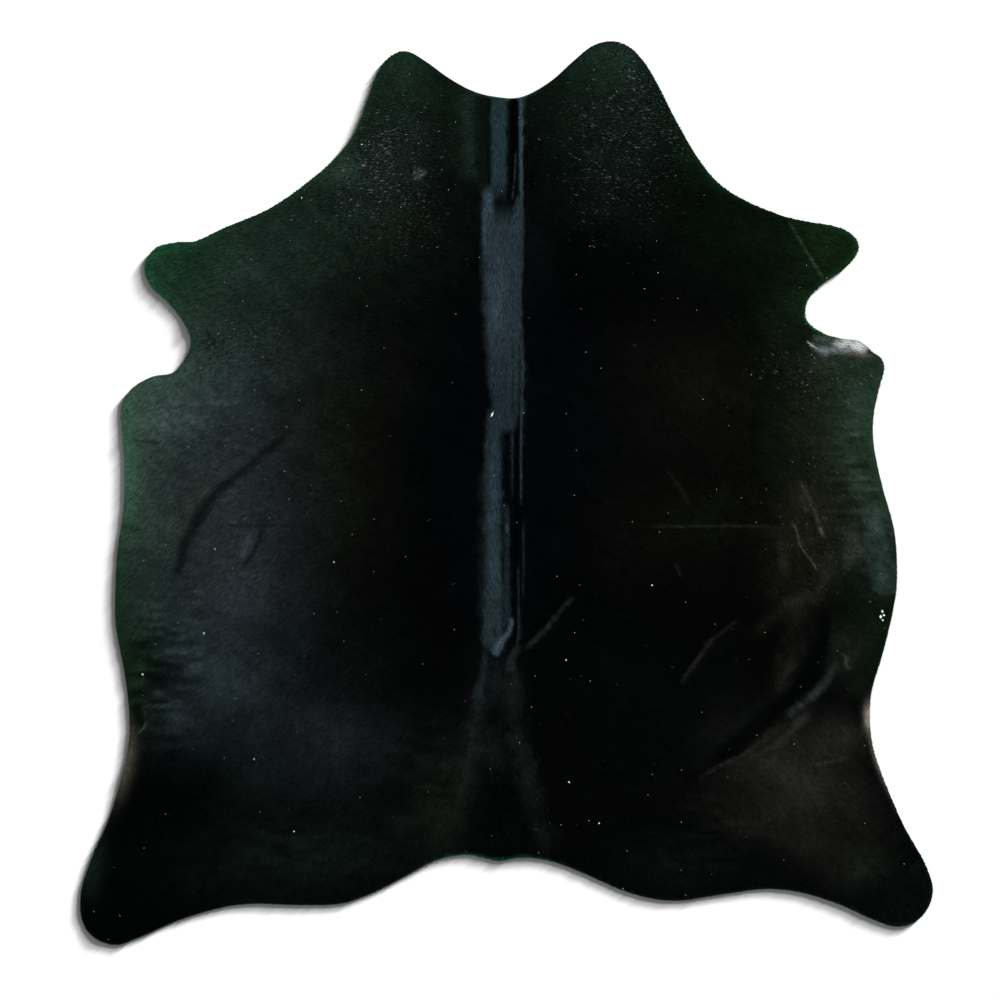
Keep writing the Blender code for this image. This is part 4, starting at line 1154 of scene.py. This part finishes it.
suede, tree, shader = new_material("suede flesh side", Roughness=0.95, Specular_IOR_Level=0.1,
                                   Sheen_Weight=0.25, Sheen_Roughness=0.6)
place = add_node(tree, "ShaderNodeTexCoord")
clouds = add_node(tree, "ShaderNodeTexNoise", {"Vector": place.outputs["Object"], "Scale": 1 / CLOUD,
                                               "Detail": 6.0, "Roughness": 0.65})
two_tones(tree, shader, clouds.outputs[0], (0.32, "#4a4c4f"), (0.70, "#727477"))
pile = add_node(tree, "ShaderNodeTexNoise", {"Vector": place.outputs["Object"], "Scale": 1 / NAP,
                                             "Detail": 2.0})
relief(tree, shader, pile.outputs[0], 0.5, 0.0003)
for material in (grain, raw_edge, suede):
    skin_mesh.materials.append(material)
print("materials:", [material.name for material in (hair, *skin_mesh.materials)])


def store_colours(mesh, name, colours, alphas):
    layer = mesh.attributes.new(name, "FLOAT_COLOR", "POINT")
    layer.data.foreach_set("color", np.column_stack((colours, alphas)).ravel())


def plan_of(mesh):
    spots = np.empty(len(mesh.vertices) * 3)
    mesh.vertices.foreach_get("co", spots)
    return spots.reshape(-1, 3)[:, :2]


all_flow = np.vstack((flow, np.zeros((len(under_points), 2))))
store_colours(skin_mesh, "dye_and_painted_light", dye_and_painted_light_at(plan_of(skin_mesh), all_flow), np.ones(len(all_flow)))
flow_layer = skin_mesh.uv_layers.new(name="flow")
corner_points = np.empty(len(skin_mesh.loops), dtype=int)
skin_mesh.loops.foreach_get("vertex_index", corner_points)
flow_layer.uv.foreach_set("vector", all_flow[corner_points].ravel())

# %% [markdown]
# ## One lock of hair
#
# A hide has millions of hairs. At this distance the eye reads small locks, so one lock is the unit:
# a low wedge about 12 mm long with its root in the skin and its tip a little raised. It has four
# triangles, because some 170,000 copies of it follow.

# %% The lock
LOCK_LENGTH = 0.0125
LOCK_WIDTH = 0.0032
ROOT_DEPTH = -0.0004
CREST_PLACE = 0.35
CREST_HEIGHT = 0.0007
TIP_HEIGHT = 0.0013

lock_mesh = bpy.data.meshes.new("lock")
lock_mesh.from_pydata(
    [(-LOCK_WIDTH / 2, 0, ROOT_DEPTH), (LOCK_WIDTH / 2, 0, ROOT_DEPTH), (0, LOCK_LENGTH, TIP_HEIGHT),
     (0, LOCK_LENGTH * CREST_PLACE, CREST_HEIGHT)],
    [], [(0, 2, 1), (0, 3, 2), (1, 2, 3), (0, 1, 3)],
)
strand_map = lock_mesh.uv_layers.new(name="strand")
places = ((0.0, 0.0), (1.0, 0.0), (0.5, 1.0), (0.5, CREST_PLACE))
for corner in lock_mesh.loops:
    strand_map.uv[corner.index].vector = places[corner.vertex_index]
lock = bpy.data.objects.new("lock", lock_mesh)
print("triangles of one lock:", len(lock_mesh.polygons))

# %% [markdown]
# ## Growing the coat
#
# Geometry Nodes scatter the locks: Poisson points keep an even spacing, each copy turns to the lie
# of the hair at its root, and a little random turn and length keeps the coat from looking combed by
# machine. Where the coat is sleek the locks lie flatter. Blender's hair curves could do this too,
# but the export keeps only meshes. The coat is grown in zones, one piece each, so that no piece is
# too heavy.

# %% The tree that scatters copies over a base
PITCH, ROLL = 0.05, 0.16  # radians that a lock turns at most, about its width and about its length
WIDTHS, LENGTHS, HEIGHTS = (0.8, 1.15), (0.75, 1.2), (0.8, 1.15)  # shares of the one lock's


def coat_tree():
    tree = bpy.data.node_groups.new("coat of locks", "GeometryNodeTree")
    face = tree.interface
    face.new_socket("Geometry", in_out="OUTPUT", socket_type="NodeSocketGeometry")
    for name, kind in (
        ("Skin", "Geometry"), ("Lock", "Object"), ("Hair", "Material"), ("Spacing", "Float"),
        ("Most per area", "Float"), ("Stray turn", "Float"), ("Seed", "Int"),
    ):
        face.new_socket(name, in_out="INPUT", socket_type="NodeSocket" + kind)
    given = add_node(tree, "NodeGroupInput").outputs
    points = add_node(tree, "GeometryNodeDistributePointsOnFaces", {
        "Mesh": given["Skin"], "Distance Min": given["Spacing"],
        "Density Max": given["Most per area"], "Seed": given["Seed"],
    }, distribute_method="POISSON")

    def chance(low, high, step):
        seed = add_node(tree, "ShaderNodeMath", {0: given["Seed"], 1: float(step)}, operation="ADD")
        drawn = add_node(tree, "FunctionNodeRandomValue", {2: low, 3: high, "Seed": seed.outputs[0]},
                         data_type="FLOAT")
        return drawn.outputs[1]

    def store(geometry_socket, name, kind, value):
        stored = add_node(tree, "GeometryNodeStoreNamedAttribute", {
            "Geometry": geometry_socket, "Name": name, "Value": value,
        }, data_type=kind, domain="POINT")
        return stored.outputs[0]

    def named(name, kind="FLOAT"):
        return add_node(tree, "GeometryNodeInputNamedAttribute", {"Name": name}, data_type=kind).outputs[0]

    def product(one, other):
        return add_node(tree, "ShaderNodeMath", {0: one, 1: other}, operation="MULTIPLY").outputs[0]

    kept = store(points.outputs["Points"], "tone", "FLOAT", chance(0.0, 1.0, 1))
    upright = add_node(tree, "FunctionNodeAlignRotationToVector",
                       {"Vector": points.outputs["Normal"]}, axis="Z")
    combed = add_node(tree, "FunctionNodeAlignRotationToVector", {
        "Rotation": upright.outputs[0], "Vector": named("lie", "FLOAT_VECTOR"),
    }, axis="Y", pivot_axis="Z")
    yaw = add_node(tree, "FunctionNodeRandomValue", {
        2: product(given["Stray turn"], -1.0), 3: given["Stray turn"], "Seed": given["Seed"],
    }, data_type="FLOAT")
    stray = add_node(tree, "ShaderNodeCombineXYZ", {
        0: chance(-PITCH, PITCH, 2), 1: chance(-ROLL, ROLL, 3),
        2: product(yaw.outputs[1], named("stray")),
    })
    turned = add_node(tree, "FunctionNodeRotateRotation", {
        "Rotation": combed.outputs[0], "Rotate By": stray.outputs[0],
    }, rotation_space="LOCAL")
    scale = add_node(tree, "ShaderNodeCombineXYZ", {
        0: chance(*WIDTHS, 5),
        1: product(chance(*LENGTHS, 4), named("size")),
        2: product(chance(*HEIGHTS, 6), named("loft")),
    })
    source = add_node(tree, "GeometryNodeObjectInfo", {"Object": given["Lock"]})
    copies = add_node(tree, "GeometryNodeInstanceOnPoints", {
        "Points": kept, "Instance": source.outputs["Geometry"],
        "Rotation": turned.outputs[0], "Scale": scale.outputs[0],
    })
    real = add_node(tree, "GeometryNodeRealizeInstances", {"Geometry": copies.outputs[0]})
    dressed = add_node(tree, "GeometryNodeSetMaterial", {
        "Geometry": real.outputs[0], "Material": given["Hair"],
    })
    add_node(tree, "NodeGroupOutput", {"Geometry": dressed.outputs[0]})
    return tree


def grown(tree, name, base, values):
    """The tree's result on a base mesh, as a plain mesh object."""
    carrier = new_object(name + " base", base)
    modifier = carrier.modifiers.new("coat", "NODES")
    modifier.node_group = tree
    sockets = {item.name: item.identifier for item in tree.interface.items_tree
               if item.in_out == "INPUT"}
    for label, value in values.items():
        modifier[sockets[label]] = value
    ready = carrier.evaluated_get(bpy.context.evaluated_depsgraph_get())
    made = bpy.data.meshes.new_from_object(ready)
    bpy.data.objects.remove(carrier)
    return new_object(name, made)


# %% The zones, and how long and how high the hair stands in each place
SPACING = 0.0031
MOST_PER_AREA = 190000.0
STRAY_YAW = math.radians(9)
RIM_REACH = 0.0014  # hair tips stand at most this far past the cut edge
SHORTEST = 0.22
FLATTEST = 0.22  # of the lock's full height, where the coat is sleek
COMBED = 0.65  # how much straighter the hair lies in the strip over the backbone
SLEEK, FULL = 0.0015, 0.030  # brightness of the dye and its painted sheen where the coat is sleek and where it is full
ALONG_RIM = 0.15  # hair that runs along the rim counts as pointing outwards by this much
NECK_ABOVE, HIND_BELOW, BACK_HALF = 0.44, -0.50, 0.34  # where the zones meet
EYE_SHARES = np.array([0.21, 0.72, 0.07])  # how much red, green and blue count in brightness

lies = np.column_stack((lie_at(top_spots), np.zeros(len(top_spots))))
flows = np.column_stack((flow, np.zeros(len(top_spots))))
rim_hits = [rim_tree.find((*spot, 0.0)) for spot in top_spots]
rim_gaps = np.array([hit[2] for hit in rim_hits])
outward = -(lies[:, :2] * inward[[hit[1] for hit in rim_hits]]).sum(axis=1)
sizes = np.clip((rim_gaps + RIM_REACH) / (np.maximum(outward, ALONG_RIM) * LOCK_LENGTH), SHORTEST, 1.0)
brightness = dye_and_painted_light_at(top_spots, flow) @ EYE_SHARES
lofts = FLATTEST + (1 - FLATTEST) * np.sqrt(ramp(brightness, SLEEK, FULL))
strays = 1 - COMBED * strip_share(top_spots)


def zone_of(x, y):
    if y > NECK_ABOVE:
        return "neck"
    if y < HIND_BELOW:
        return "left_hindquarter" if x < 0 else "right_hindquarter"
    if abs(x) < BACK_HALF:
        return "back"
    return "left_flank" if x < 0 else "right_flank"


ZONES = ("neck", "back", "left_flank", "right_flank", "left_hindquarter", "right_hindquarter")
face_zones = np.array([zone_of(*top_spots[face].mean(axis=0)) for face in top_faces])


def base_mesh(name, chosen):
    """Those faces of the skin's top as a mesh that carries what the tree and the colouring need."""
    used = np.unique(chosen)
    number = {old: new for new, old in enumerate(used)}
    mesh = bpy.data.meshes.new(name)
    mesh.from_pydata(top_points[used].tolist(), [],
                     [[number[corner] for corner in face] for face in chosen])
    for label, values in (("size", sizes), ("loft", lofts), ("stray", strays)):
        mesh.attributes.new(label, "FLOAT", "POINT").data.foreach_set("value", values[used])
    for label, vectors in (("lie", lies), ("flow", flows)):
        mesh.attributes.new(label, "FLOAT_VECTOR", "POINT").data.foreach_set("vector", vectors[used].ravel())
    return mesh


# %% Grow and dye the coat
def read_vectors(mesh, name):
    values = np.empty(len(mesh.vertices) * 3)
    mesh.attributes[name].data.foreach_get("vector", values)
    return values.reshape(-1, 3)


def lift_off_floor(mesh):
    """Hair at the rim hangs down to the floor, and lies on it rather than below it."""
    spots = read_vectors(mesh, "position")
    spots[:, 2] = np.maximum(spots[:, 2], solid_low.z)
    mesh.attributes["position"].data.foreach_set("vector", spots.ravel())


coat = coat_tree()
coat_pieces = []
for number, zone in enumerate(ZONES):
    faces = [top_faces[index] for index in np.flatnonzero(face_zones == zone)]
    piece = grown(coat, "coat_" + zone, base_mesh(zone, faces), {
        "Lock": lock, "Hair": hair, "Spacing": SPACING, "Most per area": MOST_PER_AREA,
        "Stray turn": STRAY_YAW, "Seed": 10 * number,
    })
    lift_off_floor(piece.data)
    each = len(lock_mesh.vertices)
    middles = plan_of(piece.data).reshape(-1, each, 2).mean(axis=1)
    lock_flow = read_vectors(piece.data, "flow")[::each, :2]
    # Each lock's colour is its dye with the painted sheen, highlights, shade and glints.
    tones, plain = with_painted_glints(dye_and_painted_light_at(middles, lock_flow), middles, number)
    store_colours(piece.data, "dye_and_painted_light", np.repeat(tones, each, axis=0), np.repeat(plain, each))
    coat_pieces.append(piece)
    print(zone, "triangles:", len(piece.data.polygons))

# %% [markdown]
# ## Lint
#
# Black hair shows every crumb and thread of lint. They could be painted in the material, but then
# they would slide under the hair, so they are small solid bits that lie on the coat: most are
# scattered by the same tree, and the few that the eye picks out first are placed one by one.

# %% Crumbs of lint
# Each crumb is felted from loose fibres, so its white is broken by soft grey shadows between them.
FIBRE = 0.0004

lint_white, tree, shader = new_material("cotton lint", Roughness=0.9, Specular_IOR_Level=0.2)
place = add_node(tree, "ShaderNodeTexCoord")
felted = add_node(tree, "ShaderNodeTexNoise", {"Vector": place.outputs["Object"], "Scale": 1 / FIBRE,
                                               "Detail": 3.0})
two_tones(tree, shader, felted.outputs[0], (0.30, "#9aa09f"), (0.60, "#d3d6d5"))
relief(tree, shader, felted.outputs[0], 0.6, FIBRE)
CRUMB_LENGTH, CRUMB_WIDTH, CRUMB_HEIGHT = 0.0022, 0.00132, 0.0011
CRUMB_LIFT = 0.0008
SPECK_HEIGHT = 0.4  # of its width
Speck = namedtuple("Speck", "name x y length width turn")
SPECKS = (
    Speck("on the spine", -0.035, 0.191, 0.0140, 0.0055, -25),
    Speck("left flank", -0.736, -0.341, 0.0055, 0.0040, 10),
    Speck("left belly", -0.885, -0.441, 0.0060, 0.0050, 50),
    Speck("left ribs", -0.420, -0.168, 0.0050, 0.0030, 20),
    Speck("left waist", -0.709, -0.136, 0.0040, 0.0030, 0),
    Speck("left neck", -0.352, 0.848, 0.0050, 0.0028, 70),
    Speck("left withers", -0.498, 0.718, 0.0045, 0.0028, 0),
    Speck("right waist", 0.354, -0.224, 0.0050, 0.0040, 40),
    Speck("right loin", 0.145, -0.406, 0.0050, 0.0035, 0),
    Speck("right croup", 0.152, -0.703, 0.0060, 0.0035, 30),
    Speck("left buttock", -0.517, -0.823, 0.0050, 0.0035, 80),
    Speck("tail, right", 0.225, -0.803, 0.0045, 0.0035, 0),
    Speck("belly crumb, first", 0.914, -0.288, 0.0085, 0.0060, 20),
    Speck("belly crumb, second", 0.918, -0.297, 0.0070, 0.0050, 60),
    Speck("belly crumb, third", 0.910, -0.301, 0.0095, 0.0065, 0),
    Speck("belly crumb, fourth", 0.915, -0.309, 0.0060, 0.0045, 35),
    Speck("loin, left", -0.614, -0.647, 0.0050, 0.0030, 15),
)


def crumb_points(length, width, height):
    return np.array([(-width / 2, 0, 0), (0, -length / 2, 0), (width / 2, 0, 0), (0, length / 2, 0),
                     (0, 0, height / 2), (0, 0, -height / 2)])


CRUMB_FACES = [(0, 1, 4), (1, 2, 4), (2, 3, 4), (3, 0, 4), (1, 0, 5), (2, 1, 5), (3, 2, 5), (0, 3, 5)]
crumb_mesh = bpy.data.meshes.new("crumb")
crumb = crumb_points(CRUMB_LENGTH, CRUMB_WIDTH, CRUMB_HEIGHT) + (0, 0, CRUMB_LIFT)
crumb_mesh.from_pydata(crumb.tolist(), [], CRUMB_FACES)
crumb_source = bpy.data.objects.new("crumb", crumb_mesh)
for values in (sizes, lofts, strays):
    values[:] = 1.0  # crumbs lie anywhere at their full size
scattered = grown(coat, "lint_scattered", base_mesh("whole skin", top_faces), {
    "Lock": crumb_source, "Hair": lint_white, "Spacing": 0.05, "Most per area": 55.0,
    "Stray turn": math.pi, "Seed": 7,
})
print("scattered crumbs:", len(scattered.data.polygons) // len(CRUMB_FACES))

# %% The specks that stand out
speck_points, speck_faces = [], []
plan = np.array([(speck.x, speck.y) for speck in SPECKS])
for speck, level in zip(SPECKS, heights_on_solid(plan, *FROM_ABOVE)):
    turn = math.radians(speck.turn)
    shape = crumb_points(speck.length, speck.width, speck.width * SPECK_HEIGHT)
    x = shape[:, 0] * math.cos(turn) - shape[:, 1] * math.sin(turn) + speck.x
    y = shape[:, 0] * math.sin(turn) + shape[:, 1] * math.cos(turn) + speck.y
    first = len(speck_points)
    speck_points += np.column_stack((x, y, shape[:, 2] + level - CRUMB_LIFT)).tolist()
    speck_faces += [[first + corner for corner in face] for face in CRUMB_FACES]
speck_mesh = bpy.data.meshes.new("specks")
speck_mesh.from_pydata(speck_points, [], speck_faces)
speck_mesh.materials.append(lint_white)
specks = new_object("lint_specks", speck_mesh)
print("placed specks:", len(SPECKS))

# %% Light the pieces with the coat lamps and attach them to the root body
for piece in [skin, scattered, specks, *coat_pieces]:
    hide_group.objects.link(piece)
    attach(piece, "root")
    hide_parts("hide")
solid.free()
